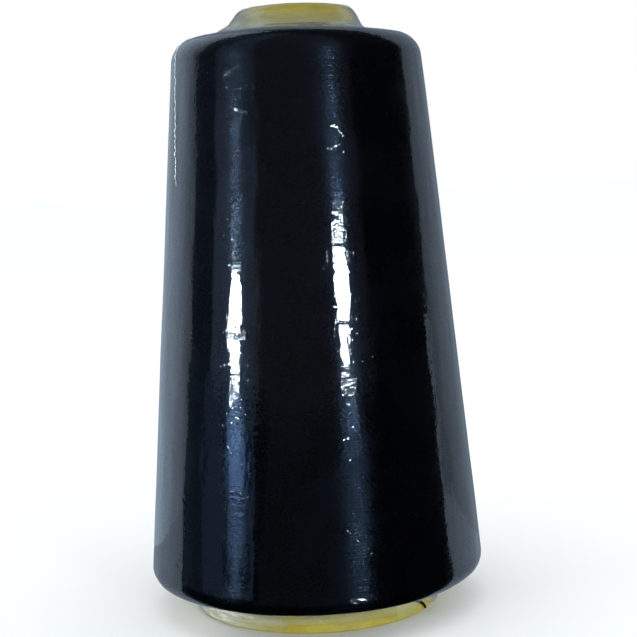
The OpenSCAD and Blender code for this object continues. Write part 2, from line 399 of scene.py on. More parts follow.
class Graph:
    """Adds nodes to a tree and links them, left to right."""

    def __init__(self, tree: bpy.types.NodeTree) -> None:
        """Starts on a tree.

        Args:
            tree: The material's, world's or group's node tree.
        """
        self.tree = tree

    def feed(self, socket: Socket, value: Source) -> None:
        """Links an output to a socket, or sets the socket's own value.

        Args:
            socket: The input to fill.
            value: An output socket, or a number, colour or vector.
        """
        if isinstance(value, Socket):
            self.tree.links.new(value, socket)
        else:
            socket.default_value = value

    def add(self, kind: str, inputs: "dict | None" = None, **settings: object) -> bpy.types.Node:
        """Adds a node.

        Args:
            kind: The node's type name.
            inputs: Values or links for its inputs, by name or number.
            **settings: The node's own properties.

        Returns:
            The node.
        """
        node = self.tree.nodes.new(kind)
        node.location = (180.0 * len(self.tree.nodes), 0.0)
        for key, value in settings.items():
            setattr(node, key, value)
        for key, value in (inputs or {}).items():
            self.feed(node.inputs[key], value)
        return node

    def math(self, operation: str, *values: Source, clamp: bool = False) -> Socket:
        """Adds a Math node.

        Args:
            operation: Its operation.
            *values: Its inputs in order.
            clamp: Keeps the result from 0 to 1.

        Returns:
            Its output.
        """
        inputs = dict(enumerate(values))
        node = self.add("ShaderNodeMath", inputs, operation=operation, use_clamp=clamp)
        return node.outputs[0]

    def product(self, *values: Source) -> Socket:
        """Multiplies values together."""
        return reduce(lambda first, second: self.math("MULTIPLY", first, second), values)

    def weigh(self, value: Source, share: Source, base: Source) -> Socket:
        """Adds to a base the value times its share."""
        return self.math("MULTIPLY_ADD", value, share, base)

    def remap(
        self, value: Source, low: float, high: float, to_low: float = 0.0, to_high: float = 1.0
    ) -> Socket:
        """Maps a value smoothly from one range to another.

        Args:
            value: The value.
            low: Start of its range.
            high: End of its range.
            to_low: What the start becomes.
            to_high: What the end becomes.

        Returns:
            The mapped value.
        """
        inputs = {0: value, 1: low, 2: high, 3: to_low, 4: to_high}
        node = self.add("ShaderNodeMapRange", inputs, interpolation_type="SMOOTHSTEP")
        return node.outputs[0]

    def spread(
        self, value: Source, half: float, to_low: float = 0.0, to_high: float = 1.0
    ) -> Socket:
        """Maps a value that lies within half of 0.5 smoothly to another range."""
        return self.remap(value, 0.5 - half, 0.5 + half, to_low, to_high)

    def blend(self, factor: Source, first: Source, second: Source, kind: str = "MIX") -> Socket:
        """Mixes two colours.

        Args:
            factor: Share of the second.
            first: The first colour.
            second: The second colour.
            kind: How they mix.

        Returns:
            The mixed colour.
        """
        inputs = {0: factor, 6: first, 7: second}
        node = self.add("ShaderNodeMix", inputs, data_type="RGBA", blend_type=kind)
        return node.outputs[2]

    def stretch(self, vector: Socket, scale: tuple, turn: tuple = (0.0, 0.0, 0.0)) -> Socket:
        """Scales a vector along each axis, and turns it round each by radians."""
        inputs = {"Vector": vector, "Scale": scale, "Rotation": turn}
        return self.add("ShaderNodeMapping", inputs).outputs[0]

    def axes(self, vector: Socket) -> "list[Socket]":
        """The three axes of a vector."""
        return list(self.add("ShaderNodeSeparateXYZ", {0: vector}).outputs)

    def noise(self, vector: Socket, scale: Source, detail: float = 2.0) -> Socket:
        """Adds soft noise around 0.5, with scale blotches in one unit and finer layers."""
        inputs = {"Vector": vector, "Scale": scale, "Detail": detail}
        return self.add("ShaderNodeTexNoise", inputs).outputs["Fac"]

    def blotches(self, vector: Socket, size: Source, detail: float) -> Socket:
        """Adds soft noise around 0.5, with blotches of a given size."""
        return self.noise(vector, self.math("DIVIDE", 1.0, size), detail)

    def swing(self, value: Source) -> Socket:
        """A value around 0.5, brought to lie around 0."""
        return self.math("SUBTRACT", value, 0.5)

    def metres(self) -> Socket:
        """The object's own coordinates, in metres."""
        return self.add("ShaderNodeTexCoord").outputs["Object"]

    def millimetres(self) -> Socket:
        """The object's own coordinates, in millimetres."""
        return self.stretch(self.metres(), (1 / MM, 1 / MM, 1 / MM))

    def value_of(self, attribute: str) -> Socket:
        """A number that the mesh holds for each vertex."""
        return self.add("ShaderNodeAttribute", attribute_name=attribute).outputs["Fac"]

    def bump(self, height: Source) -> Socket:
        """Turns a height in millimetres into a normal."""
        return self.add("ShaderNodeBump", {"Height": height, "Distance": MM}).outputs["Normal"]

    def mix(self, share: Source, first: bpy.types.Node, second: bpy.types.Node) -> bpy.types.Node:
        """Mixes two shaders, by the share of the second."""
        inputs = {0: share, 1: first.outputs[0], 2: second.outputs[0]}
        return self.add("ShaderNodeMixShader", inputs)

    def one_sided(self, face: bpy.types.Node) -> bpy.types.Node:
        """A shader that is clear when its face is seen from behind."""
        behind = self.add("ShaderNodeNewGeometry").outputs["Backfacing"]
        return self.mix(behind, face, self.add("ShaderNodeBsdfTransparent"))

    def finish(self, shader: bpy.types.Node) -> None:
        """Gives the material its shader."""
        self.add("ShaderNodeOutputMaterial", {"Surface": shader.outputs[0]})


class Effect:
    """A node group that more than one finish uses, built once."""

    name = ""
    inputs: "dict[str, float | None]" = {}
    outputs: "tuple[str, ...]" = ()

    def wire(self, graph: Graph, given: "dict[str, Socket]") -> "tuple[Socket, ...]":
        """Lays out the group's nodes.

        Args:
            graph: The group's tree.
            given: The group's inputs, by name.

        Returns:
            What each of the group's outputs gets, in order.
        """
        raise NotImplementedError

    def tree(self) -> bpy.types.NodeTree:
        """The group's tree, which is built the first time it is asked for.

        Returns:
            The tree.
        """
        found = bpy.data.node_groups.get(self.name)
        if found:
            return found
        tree = bpy.data.node_groups.new(self.name, "ShaderNodeTree")
        for key, value in self.inputs.items():
            kind = "NodeSocketVector" if value is None else "NodeSocketFloat"
            socket = tree.interface.new_socket(name=key, in_out="INPUT", socket_type=kind)
            if value is not None:
                socket.default_value = value
        for key in self.outputs:
            tree.interface.new_socket(name=key, in_out="OUTPUT", socket_type="NodeSocketFloat")
        graph = Graph(tree)
        entry, end = graph.add("NodeGroupInput"), graph.add("NodeGroupOutput")
        results = self.wire(graph, {key: entry.outputs[key] for key in self.inputs})
        for key, result in zip(self.outputs, results, strict=True):
            graph.feed(end.inputs[key], result)
        return tree

    def place(self, graph: Graph, **values: Source) -> "dict[str, Socket]":
        """Puts the group in a material.

        Args:
            graph: The material's tree.
            **values: Inputs by name, in lower case with _ for a space.

        Returns:
            The group's outputs, by name.
        """
        node = graph.add("ShaderNodeGroup", node_tree=self.tree())
        for key, value in values.items():
            graph.feed(node.inputs[key.replace("_", " ").capitalize()], value)
        return {key: node.outputs[key] for key in self.outputs}


class Mottle(Effect):
    """Soft uneven tone, as in moulded plastic or dyed yarn."""

    name = "Mottle"
    inputs = {"Vector": None, "Blotch": 8.0, "Fleck": 1.2}
    outputs = ("Tone", "Grain")
    broad_share = 0.7

    def wire(self, graph: Graph, given: "dict[str, Socket]") -> "tuple[Socket, ...]":
        """Mixes broad blotches with fine flecks, both around 0.5.

        Args:
            graph: The group's tree.
            given: The group's inputs, by name.

        Returns:
            The tone and the grain.
        """
        broad = graph.blotches(given["Vector"], given["Blotch"], 3.0)
        fine = graph.blotches(given["Vector"], given["Fleck"], 2.0)
        broad = graph.product(broad, self.broad_share)
        return graph.weigh(fine, 1.0 - self.broad_share, broad), fine


class Scuffs(Effect):
    """Hairline scuffs and rubbed places."""

    name = "Scuffs"
    inputs = {"Vector": None, "Length": 9.0, "Amount": 0.5}
    outputs = ("Mask",)
    slant = (0.5, 0.35, 0.9)
    hair = (2.6, 2.6, 0.16)
    line_range = (0.62, 0.7)
    rubbed_range = (0.45, 0.7)

    def wire(self, graph: Graph, given: "dict[str, Socket]") -> "tuple[Socket, ...]":
        """Stretches noise into hairlines and keeps them in rubbed patches.

        Args:
            graph: The group's tree.
            given: The group's inputs, by name.

        Returns:
            The mask.
        """
        hairs = graph.noise(graph.stretch(given["Vector"], self.hair, self.slant), 1.0, 4.0)
        line = graph.remap(hairs, *self.line_range)
        patch = graph.blotches(given["Vector"], given["Length"], 2.0)
        rubbed = graph.remap(patch, *self.rubbed_range)
        return (graph.product(line, rubbed, given["Amount"]),)


class ThreadLines(Effect):
    """Fine, nearly level lines of wound thread that cross at a small angle."""

    name = "Thread lines"
    inputs = {"Vector": None, "Pitch": 0.6, "Waver": 0.5}
    outputs = ("Height", "Shade")
    sway = (0.05, 0.05, 0.4)

    def wire(self, graph: Graph, given: "dict[str, Socket]") -> "tuple[Socket, ...]":
        """Draws rounded ridges up the cone and lets them waver.

        Args:
            graph: The group's tree.
            given: The group's inputs, by name.

        Returns:
            The height, and each line's own tone with a painted shade in its grooves.
        """
        sway = graph.noise(graph.stretch(given["Vector"], self.sway), 1.0)
        level = graph.weigh(sway, given["Waver"], graph.axes(given["Vector"])[2])
        step = graph.math("DIVIDE", level, given["Pitch"])
        ridge = graph.math("SINE", graph.product(graph.math("FRACT", step), math.pi))
        number = {"W": graph.math("FLOOR", step)}
        tone = graph.add("ShaderNodeTexWhiteNoise", number, noise_dimensions="1D")
        # Shade is a tone of each line's own, which a painted shade darkens towards its grooves.
        return ridge, graph.product(tone.outputs["Value"], ridge)


class Crinkle(Effect):
    """Small relief of tight film: crinkles, drawn lines, dimples, grain and pimples.

    Each input but the first is the depth of one kind, in millimetres. The values named
    for a kind are its fineness, in repeats for each millimetre. Grain is weakest at
    least_grain between its patches, and pimples keep cells above a limit that falls from
    the first of kept to the second where they crowd.
    """

    name = "Crinkle"
    inputs = {
        "Vector": None,
        "Crinkles": 0.02,
        "Draw": 0.016,
        "Dimples": 0.027,
        "Grain": 0.014,
        "Pimples": 0.024,
    }
    outputs = ("Height",)
    crinkles = (0.8, 0.8, 0.16)
    drawn = (0.35, 0.35, 0.02)
    dimples = 0.5
    grain = 1.7
    grain_patches = 0.06
    patch_range = (0.4, 0.6)
    least_grain = 0.2
    pimples = 0.85
    pimple_size = 0.42
    pimple_crowds = 0.07
    crowd_range = (0.4, 0.66)
    kept = (0.97, 0.7)

    def wire(self, graph: Graph, given: "dict[str, Socket]") -> "tuple[Socket, ...]":
        """Adds the kinds of relief, in millimetres.

        Args:
            graph: The group's tree.
            given: The group's inputs, by name.

        Returns:
            The height.
        """
        where = given["Vector"]
        crinkled = graph.swing(graph.noise(graph.stretch(where, self.crinkles), 1.0))
        drawn = graph.swing(graph.noise(graph.stretch(where, self.drawn), 1.0, 1.0))
        dimpled = graph.swing(graph.noise(where, self.dimples, 1.0))
        grain = graph.swing(graph.noise(where, self.grain, 1.0))
        patch = graph.noise(where, self.grain_patches, 1.0)
        patch = graph.remap(patch, *self.patch_range, self.least_grain)
        cells = graph.add(
            "ShaderNodeTexVoronoi", {"Vector": where, "Scale": self.pimples, "Randomness": 1.0}
        )
        pick = graph.add("ShaderNodeSeparateColor", {0: cells.outputs["Color"]}).outputs[0]
        crowd = graph.noise(where, self.pimple_crowds)
        crowd = graph.remap(crowd, *self.crowd_range, *self.kept)
        dome = graph.remap(cells.outputs["Distance"], 0.0, self.pimple_size, 1.0, 0.0)
        height = graph.product(grain, patch, given["Grain"])
        height = graph.weigh(dimpled, given["Dimples"], height)
        chosen = graph.math("GREATER_THAN", pick, crowd)
        pimple = graph.product(dome, chosen, given["Pimples"])
        height = graph.weigh(crinkled, given["Crinkles"], graph.math("ADD", pimple, height))
        return (graph.weigh(drawn, given["Draw"], height),)


MOTTLE, SCUFFS, THREAD_LINES, CRINKLE = Mottle(), Scuffs(), ThreadLines(), Crinkle()


def new_material(name: str) -> tuple[bpy.types.Material, Graph]:
    """Starts a material.

    Args:
        name: Its name.

    Returns:
        The material and its graph.
    """
    material = bpy.data.materials.new(name)
    material.use_nodes = True
    material.node_tree.nodes.clear()
    return material, Graph(material.node_tree)


# ----------------------------------------------------------------------------- finishes


@dataclass(frozen=True)
class CorePlastic:
    """Yellow moulded plastic, a little cloudy, with a satin skin.

    Between the two heights of fade a painted shade darkens it towards the nose. Scuffs turn
    it chalky, rougher by scuff_roughness and lower by relief.
    """

    name: str = "core plastic"
    light: tuple = (0.45, 0.375, 0.045, 1.0)
    deep: tuple = (0.37, 0.29, 0.02, 1.0)
    chalk: tuple = (0.5, 0.48, 0.3, 1.0)
    chalkiness: float = 0.5
    painted_nose_shade: tuple = (0.74, 0.72, 0.66, 1.0)
    fade: Pair = (20.0, 160.0)
    roughness: Pair = (0.3, 0.46)
    blotch: float = 11.0
    fleck: float = 1.4
    scuff_length: float = 7.0
    scuff_amount: float = 0.8
    scuff_roughness: float = 0.25
    relief: float = 0.02
    softness: float = 0.15
    soft_depth: float = 0.002

    def build(self) -> bpy.types.Material:
        """Makes the material.

        Returns:
            The material.
        """
        material, graph = new_material(self.name)
        where = graph.millimetres()
        mottle = MOTTLE.place(graph, vector=where, blotch=self.blotch, fleck=self.fleck)
        scuffs = SCUFFS.place(
            graph, vector=where, length=self.scuff_length, amount=self.scuff_amount
        )["Mask"]
        colour = graph.blend(graph.spread(mottle["Tone"], 0.15), self.deep, self.light)
        colour = graph.blend(graph.product(scuffs, self.chalkiness), colour, self.chalk)
        # Painted shade: the colour is darkened towards the nose, between the heights of fade.
        nose_shaded = graph.remap(graph.axes(where)[2], *self.fade)
        rough = graph.spread(mottle["Grain"], 0.2, *self.roughness)
        relief = graph.weigh(scuffs, -self.relief, graph.product(mottle["Grain"], self.relief))
        graph.finish(
            graph.add(
                "ShaderNodeBsdfPrincipled",
                {
                    "Base Color": graph.blend(nose_shaded, colour, self.painted_nose_shade, "MULTIPLY"),
                    "Roughness": graph.weigh(scuffs, self.scuff_roughness, rough),
                    "Normal": graph.bump(relief),
                    "Subsurface Weight": self.softness,
                    "Subsurface Scale": self.soft_depth,
                },
            )
        )
        return material


@dataclass(frozen=True)
class Yarn:
    """Dyed polyester thread with a soft shine that spreads across its run.

    A lined yarn shows the lines of a wound body, and any other its twisted plies, which
    turn once in each twist. Both have relief and a painted shade that darkens their
    grooves. Depths are millimetres.
    """

    name: str
    dark: tuple = (0.0006, 0.0006, 0.0008, 1.0)
    lit: tuple = (0.001, 0.0011, 0.0019, 1.0)
    shine: tuple = (0.062, 0.102, 0.175, 1.0)
    blotch: float = 14.0
    fleck: float = 0.5
    roughness: float = 0.26
    smoother: float = 0.08
    rougher: float = 0.14
    fuzz_roughness: float = 0.04
    stretch: float = 0.8
    lined: bool = False
    line_pitch: float = 0.6
    line_waver: float = 2.2
    line_depth: float = 0.12
    line_tone_and_shade: float = 0.6
    own_tone: float = 0.5
    twist: float = 1.6
    painted_ply_shade: float = 0.12
    ply_depth: float = 0.004
    fuzz_depth: float = 0.012

    def wound(self, graph: Graph, where: Socket, tone: Socket) -> tuple[Socket, Socket]:
        """Shows the lines of thread in a wound body.

        Args:
            graph: The material's tree.
            where: The object's coordinates.
            tone: The yarn's own tone.

        Returns:
            The tone with the lines and their painted shade in it, and their relief.
        """
        lines = THREAD_LINES.place(
            graph, vector=where, pitch=self.line_pitch, waver=self.line_waver
        )
        # Painted shade: the lines darken the tone in the grooves between them.
        tone = graph.weigh(lines["Shade"], self.line_tone_and_shade, graph.product(tone, self.own_tone))
        return tone, graph.product(lines["Height"], self.line_depth)

    def twisted(self, graph: Graph, grain: Socket, tone: Socket) -> tuple[Socket, Socket]:
        """Shows the twisted plies of one strand.

        Args:
            graph: The material's tree.
            grain: The yarn's fine grain.
            tone: The yarn's own tone.

        Returns:
            The tone with a painted shade between the plies, and their relief.
        """
        turn = graph.weigh(graph.value_of("run"), 1 / self.twist, graph.value_of("round"))
        ply = graph.math("SINE", graph.product(turn, 2 * math.pi))
        relief = graph.weigh(ply, self.ply_depth, graph.product(grain, self.fuzz_depth))
        # Painted shade: the tone follows the plies' relief, darker in the grooves between them.
        return graph.weigh(ply, self.painted_ply_shade, tone), relief

    def build(self) -> bpy.types.Material:
        """Makes the material.

        Returns:
            The material.
        """
        material, graph = new_material(self.name)
        where = graph.millimetres()
        mottle = MOTTLE.place(graph, vector=where, blotch=self.blotch, fleck=self.fleck)
        tone, grain = graph.spread(mottle["Tone"], 0.18), mottle["Grain"]
        if self.lined:
            tone, relief = self.wound(graph, where, tone)
        else:
            tone, relief = self.twisted(graph, grain, tone)
        smooth, coarse = self.roughness - self.smoother, self.roughness + self.rougher
        rough = graph.spread(mottle["Tone"], 0.14, smooth, coarse)
        fuzz = graph.spread(grain, 0.2, -self.fuzz_roughness, self.fuzz_roughness)
        tangent = graph.add("ShaderNodeTangent", direction_type="RADIAL", axis="Z")
        # The base colour runs from dark to lit by the yarn's random tone and its painted shade.
        graph.finish(
            graph.add(
                "ShaderNodeBsdfPrincipled",
                {
                    "Base Color": graph.blend(tone, self.dark, self.lit),
                    "Roughness": graph.math("ADD", rough, fuzz),
                    "Normal": graph.bump(relief),
                    "Specular IOR Level": 1.0,
                    "Specular Tint": self.shine,
                    "Anisotropic": self.stretch,
                    "Anisotropic Rotation": 0.25,
                    "Tangent": tangent.outputs[0],
                },
            )
        )
        return material


@dataclass(frozen=True)
class ClearFilm:
    """Clear shrink film: mirror-bright, with crinkles, creases and milky places.

    The mesh says where it is milky and how far a painted shade darkens it: from milk to a
    grey painted shade above the thread, and on to a painted shadow under its front edge. The
    mirror grows towards grazing views, up to most_mirror.
    Streaks, clouds and crease_breaks are repeats for each millimetre.
    """

    name: str = "shrink film"
    ior: float = 1.72
    clear: tuple = (0.98, 0.985, 0.985, 1.0)
    edge: tuple = (0.4, 0.43, 0.44, 1.0)
    milk: tuple = (0.76, 0.77, 0.64, 1.0)
    painted_shade: tuple = (0.37, 0.39, 0.3, 1.0)
    shadow: tuple = (0.09, 0.12, 0.17, 1.0)
    least_milk: float = 0.0
    most_mirror: float = 0.42
    roughness: float = 0.035
    uneven_gloss: Pair = (0.7, 1.4)
    scuff_length: float = 14.0
    scuff_roughness: float = 0.05
    pimples: float = 0.024
    edge_range: Pair = (0.55, 0.95)
    streaks: tuple = (0.16, 0.16, 1.5)
    streak_milk: Pair = (0.6, 1.35)
    clouds: float = 0.35
    cloud_milk: Pair = (0.75, 1.2)
    crease_breaks: float = 1.1
    break_range: Pair = (0.38, 0.6)
    least_crease: float = 0.15

    def relief(self, graph: Graph, where: Socket) -> Socket:
        """Crinkles of the film and its sharp creases, which are broken here and there.

        Args:
            graph: The material's tree.
            where: The object's coordinates.

        Returns:
            The relief, in millimetres.
        """
        crinkle = CRINKLE.place(graph, vector=where, pimples=self.pimples)["Height"]
        off = graph.value_of("crease_offset")
        ridge = graph.math("POWER", 2.0, graph.product(off, off, -1.0))
        broken = graph.noise(where, self.crease_breaks)
        ridge = graph.product(ridge, graph.remap(broken, *self.break_range, self.least_crease))
        return graph.weigh(ridge, graph.value_of("crease_height"), crinkle)

    def haze(self, graph: Graph, where: Socket, cloud: Socket) -> Socket:
        """How milky the film is.

        Args:
            graph: The material's tree.
            where: The object's coordinates.
            cloud: Soft noise.

        Returns:
            The milkiness, from 0 to 1.
        """
        streak = graph.noise(graph.stretch(where, self.streaks), 1.0, 3.0)
        streak = graph.spread(streak, 0.16, *self.streak_milk)
        haze = graph.product(graph.value_of("milk"), graph.spread(cloud, 0.2, *self.cloud_milk))
        haze = graph.math("MULTIPLY", haze, streak, clamp=True)
        return graph.math("MAXIMUM", haze, self.least_milk) if self.least_milk else haze

    def tone(self, graph: Graph) -> Socket:
        """Colour of the milky places, with their painted shade and painted shadow.

        Args:
            graph: The material's tree.

        Returns:
            The colour.
        """
        # Painted shade: up to 1 the milk turns to a grey painted shade, from 1 to 2 to a painted
        # shadow.
        shade_amount = graph.value_of("painted_shade")
        tone = graph.blend(graph.remap(shade_amount, 0.0, 1.0), self.milk, self.painted_shade)
        return graph.blend(graph.remap(shade_amount, 1.0, 2.0), tone, self.shadow)

    def build(self) -> bpy.types.Material:
        """Makes the material.

        Returns:
            The material.
        """
        material, graph = new_material(self.name)
        where = graph.millimetres()
        normal = graph.bump(self.relief(graph, where))
        cloud = graph.noise(where, self.clouds, 3.0)
        scuffs = SCUFFS.place(graph, vector=where, length=self.scuff_length, amount=1.0)["Mask"]
        rough = graph.spread(cloud, 0.2, *(part * self.roughness for part in self.uneven_gloss))
        rough = graph.weigh(scuffs, self.scuff_roughness, rough)
        facing = graph.add("ShaderNodeLayerWeight", {"Blend": 0.5}).outputs["Facing"]
        tint = graph.blend(graph.remap(facing, *self.edge_range), self.clear, self.edge)
        clear = graph.add("ShaderNodeBsdfTransparent", {0: tint})
        milk = graph.add("ShaderNodeBsdfDiffuse", {"Color": self.tone(graph)})
        through = graph.mix(self.haze(graph, where, cloud), clear, milk)
        gloss = {"Color": WHITE, "Roughness": rough, "Normal": normal}
        fresnel = graph.add("ShaderNodeFresnel", {"IOR": self.ior, "Normal": normal}).outputs[0]
        mirror = graph.math("MINIMUM", fresnel, self.most_mirror)
        behind = graph.add("ShaderNodeNewGeometry").outputs["Backfacing"]
        mirror = graph.product(mirror, graph.math("SUBTRACT", 1.0, behind))
        graph.finish(graph.mix(mirror, through, graph.add("ShaderNodeBsdfGlossy", gloss)))
        return material


# ------------------------------------------------------------------------------- pieces


@dataclass
class ConeCore:
    """The hollow moulded cone that the thread is wound on."""

    height: float = 170.0
    base_d: float = 69.0
    nose_d: float = 34.0
    nose_round: float = 4.5

    @property
    def taper(self) -> float:
        """Taper of the wall, in radians."""
        return math.atan((self.base_d - self.nose_d) / 2 / self.height)

    @property
    def nose_centre(self) -> Pair:
        """Centre of the arc that rounds the nose."""
        return corner_centre(self.nose_d / 2, self.height, self.taper, self.nose_round, 1)

    def radius(self, height: np.ndarray) -> np.ndarray:
        """Outside radius of the straight wall at a height."""
        return self.base_d / 2 - height * math.tan(self.taper)

    def hollow_centre(self, face: float, fillet: float, gap: float, end: int) -> Pair:
        """Centre of the arc in which a wrap leaves a level face for the core.

        Args:
            face: Height of the face.
            fillet: Radius of the arc.
            gap: Clearance between the arc and the core.
            end: 1 above the thread and -1 below it.

        Returns:
            Radius and height of the centre.
        """
        height = face + end * fillet
        return float(self.radius(height) + (gap + fillet) / math.cos(self.taper)), height

    def dress(self, node: bpy.types.Object) -> None:
        """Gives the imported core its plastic.

        Args:
            node: The core as packed.
        """
        material = CorePlastic().build()
        for slot in node.material_slots:
            slot.material = material
        LOG.info("%s: dressed as packed", node.name)


@dataclass
class ThreadPackage:
    """The wound body of thread.

    Its surface lies under_strands above the bottom of a winding of that depth, and the
    outer strands fill the rest. The slump lowers its shoulder on the right, and the sag
    its lower edge at the front left. Each begins and is whole at two cosines of the angle
    from its side, and at two places given as (radius, height).
    """

    core: ConeCore
    low_z: float = 9.4
    high_z: float = 161.9
    base_d: float = 96.0
    top_d: float = 69.2
    edge_r: float = 3.6
    shoulder_r: float = 6.5
    core_gap: float = 0.12
    winding: float = 2.97
    under_strands: float = 2.8
    end_inset: float = 0.25
    end_lip: float = 1.6
    crown: float = 2.6
    crown_reach: float = 3.0
    crown_rings: int = 9
    slump: float = 0.4
    slump_in: float = 0.35
    slump_side: Pair = (-0.35, 1.0)
    slump_from: Pair = (22.0, 144.0)
    slump_whole: Pair = (33.0, 159.0)
    sag: float = 0.7
    sag_side: Pair = (-0.6, 0.5)
    sag_from: Pair = (38.0, 26.0)
    sag_whole: Pair = (43.0, 11.0)
    uneven: Ripples = Ripples(0.02, 12, 5, 14.0)
    uneven_from_ends: float = 3.0
    spacing: "tuple[Pair, ...]" = ((20.0, 0.8), (134.0, 1.6), (60.0, 0.6))
    columns: int = 180
    inside_rows: int = 22

    @property
    def taper(self) -> float:
        """Taper of the thread's side, in radians."""
        return math.atan((self.base_d - self.top_d) / 2 / (self.high_z - self.low_z))

    def edge_arc(self, lift: float = 0.0, wrap: float = 90.0) -> np.ndarray:
        """Outline of the rounded lower edge, lifted off it, from wrap degrees below level."""
        centre = corner_centre(self.base_d / 2, self.low_z, self.taper, self.edge_r, -1)
        return arc(centre, self.edge_r + lift, -wrap, math.degrees(self.taper))

    def shoulder_arc(self, lift: float = 0.0, wrap: float = 90.0) -> np.ndarray:
        """Outline of the rounded shoulder, lifted off it, up to wrap degrees above level."""
        centre = corner_centre(self.top_d / 2, self.high_z, self.taper, self.shoulder_r, 1)
        return arc(centre, self.shoulder_r + lift, math.degrees(self.taper), wrap)

    def settle(
        self, azimuth: np.ndarray, radius: np.ndarray, height: np.ndarray
    ) -> tuple[np.ndarray, np.ndarray]:
        """Lets the shoulder slump on the right and the lower edge sag at the front left.

        Args:
            azimuth: Azimuths, in radians.
            radius: Radii.
            height: Heights.

        Returns:
            The settled radii and heights.
        """
        right = smoothstep(*self.slump_side, np.cos(azimuth - math.radians(Side.RIGHT.value)))
        slump = (
            self.slump
            * right
            * smoothstep(self.slump_from[0], self.slump_whole[0], radius)
            * smoothstep(self.slump_from[1], self.slump_whole[1], height)
        )
        left = np.cos(azimuth - math.radians(Side.FRONT_LEFT.value))
        left = smoothstep(*self.sag_side, left)
        low = 1 - smoothstep(self.sag_whole[1], self.sag_from[1], height)
        low = low * smoothstep(self.sag_from[0], self.sag_whole[0], radius)
        return radius - self.slump_in * slump, height - slump - self.sag * left * low

    def crowned_end(self, high: float, outer_r: float) -> np.ndarray:
        """The upper end's half section, which rises a little where it meets the core.

        Args:
            high: Height of the end.
            outer_r: Radius at which the end starts.

        Returns:
            Its points, from the outside in.
        """
        part = np.linspace(0.0, 1.0, self.crown_rings)
        top_r = float(self.core.radius(high + self.crown)) + self.core_gap
        rise = np.stack(
            [top_r + self.crown_reach * (1 - part), high + self.crown * part**3], axis=1
        )
        return np.vstack([[[outer_r, high]], rise])

    def section(self) -> np.ndarray:
        """Half section of the body's outside, from under the lower end to the crown.

        Returns:
            Its points.
        """
        lift = self.under_strands - self.winding
        edge, shoulder = self.edge_arc(lift), self.shoulder_arc(lift)
        low, high = self.low_z + self.end_inset, self.high_z - self.end_inset
        start = [[self.core.radius(low) + self.core_gap, low], [edge[0, 0] - self.end_lip, low]]
        end = self.crowned_end(high, shoulder[-1, 0] - self.end_lip)
        return np.concatenate([start, edge, shoulder, end])

    def build(self, material: bpy.types.Material) -> bpy.types.Object:
        """Makes the body of thread that lies under the outer strands.

        Args:
            material: Its finish.

        Returns:
            The piece.
        """
        section = self.section()
        run = stations(section, self.spacing)
        point, normal = along(section, run)
        azimuth = np.linspace(0, 2 * math.pi, self.columns, endpoint=False)[None, :]
        uneven = self.uneven.over(azimuth, run[:, None])
        for from_end in (run, run[-1] - run):
            uneven *= smoothstep(0.0, self.uneven_from_ends, from_end)[:, None]
        radius = point[:, None, 0] + normal[:, None, 0] * uneven
        height = point[:, None, 1] + normal[:, None, 1] * uneven
        shell = around(azimuth, *self.settle(azimuth, radius, height))
        levels = np.linspace(section[-1, 1], section[0, 1], self.inside_rows + 2)[1:-1, None]
        bore = around(azimuth, self.core.radius(levels) + self.core_gap, levels)
        points = np.concatenate([shell, bore]).reshape(-1, 3)
        # One row of faces more than rows of points, which closes onto the first row.
        faces = quads(len(shell) + len(bore) + 1, self.columns) % len(points)
        return make_piece("thread_body", points, faces.tolist(), material)


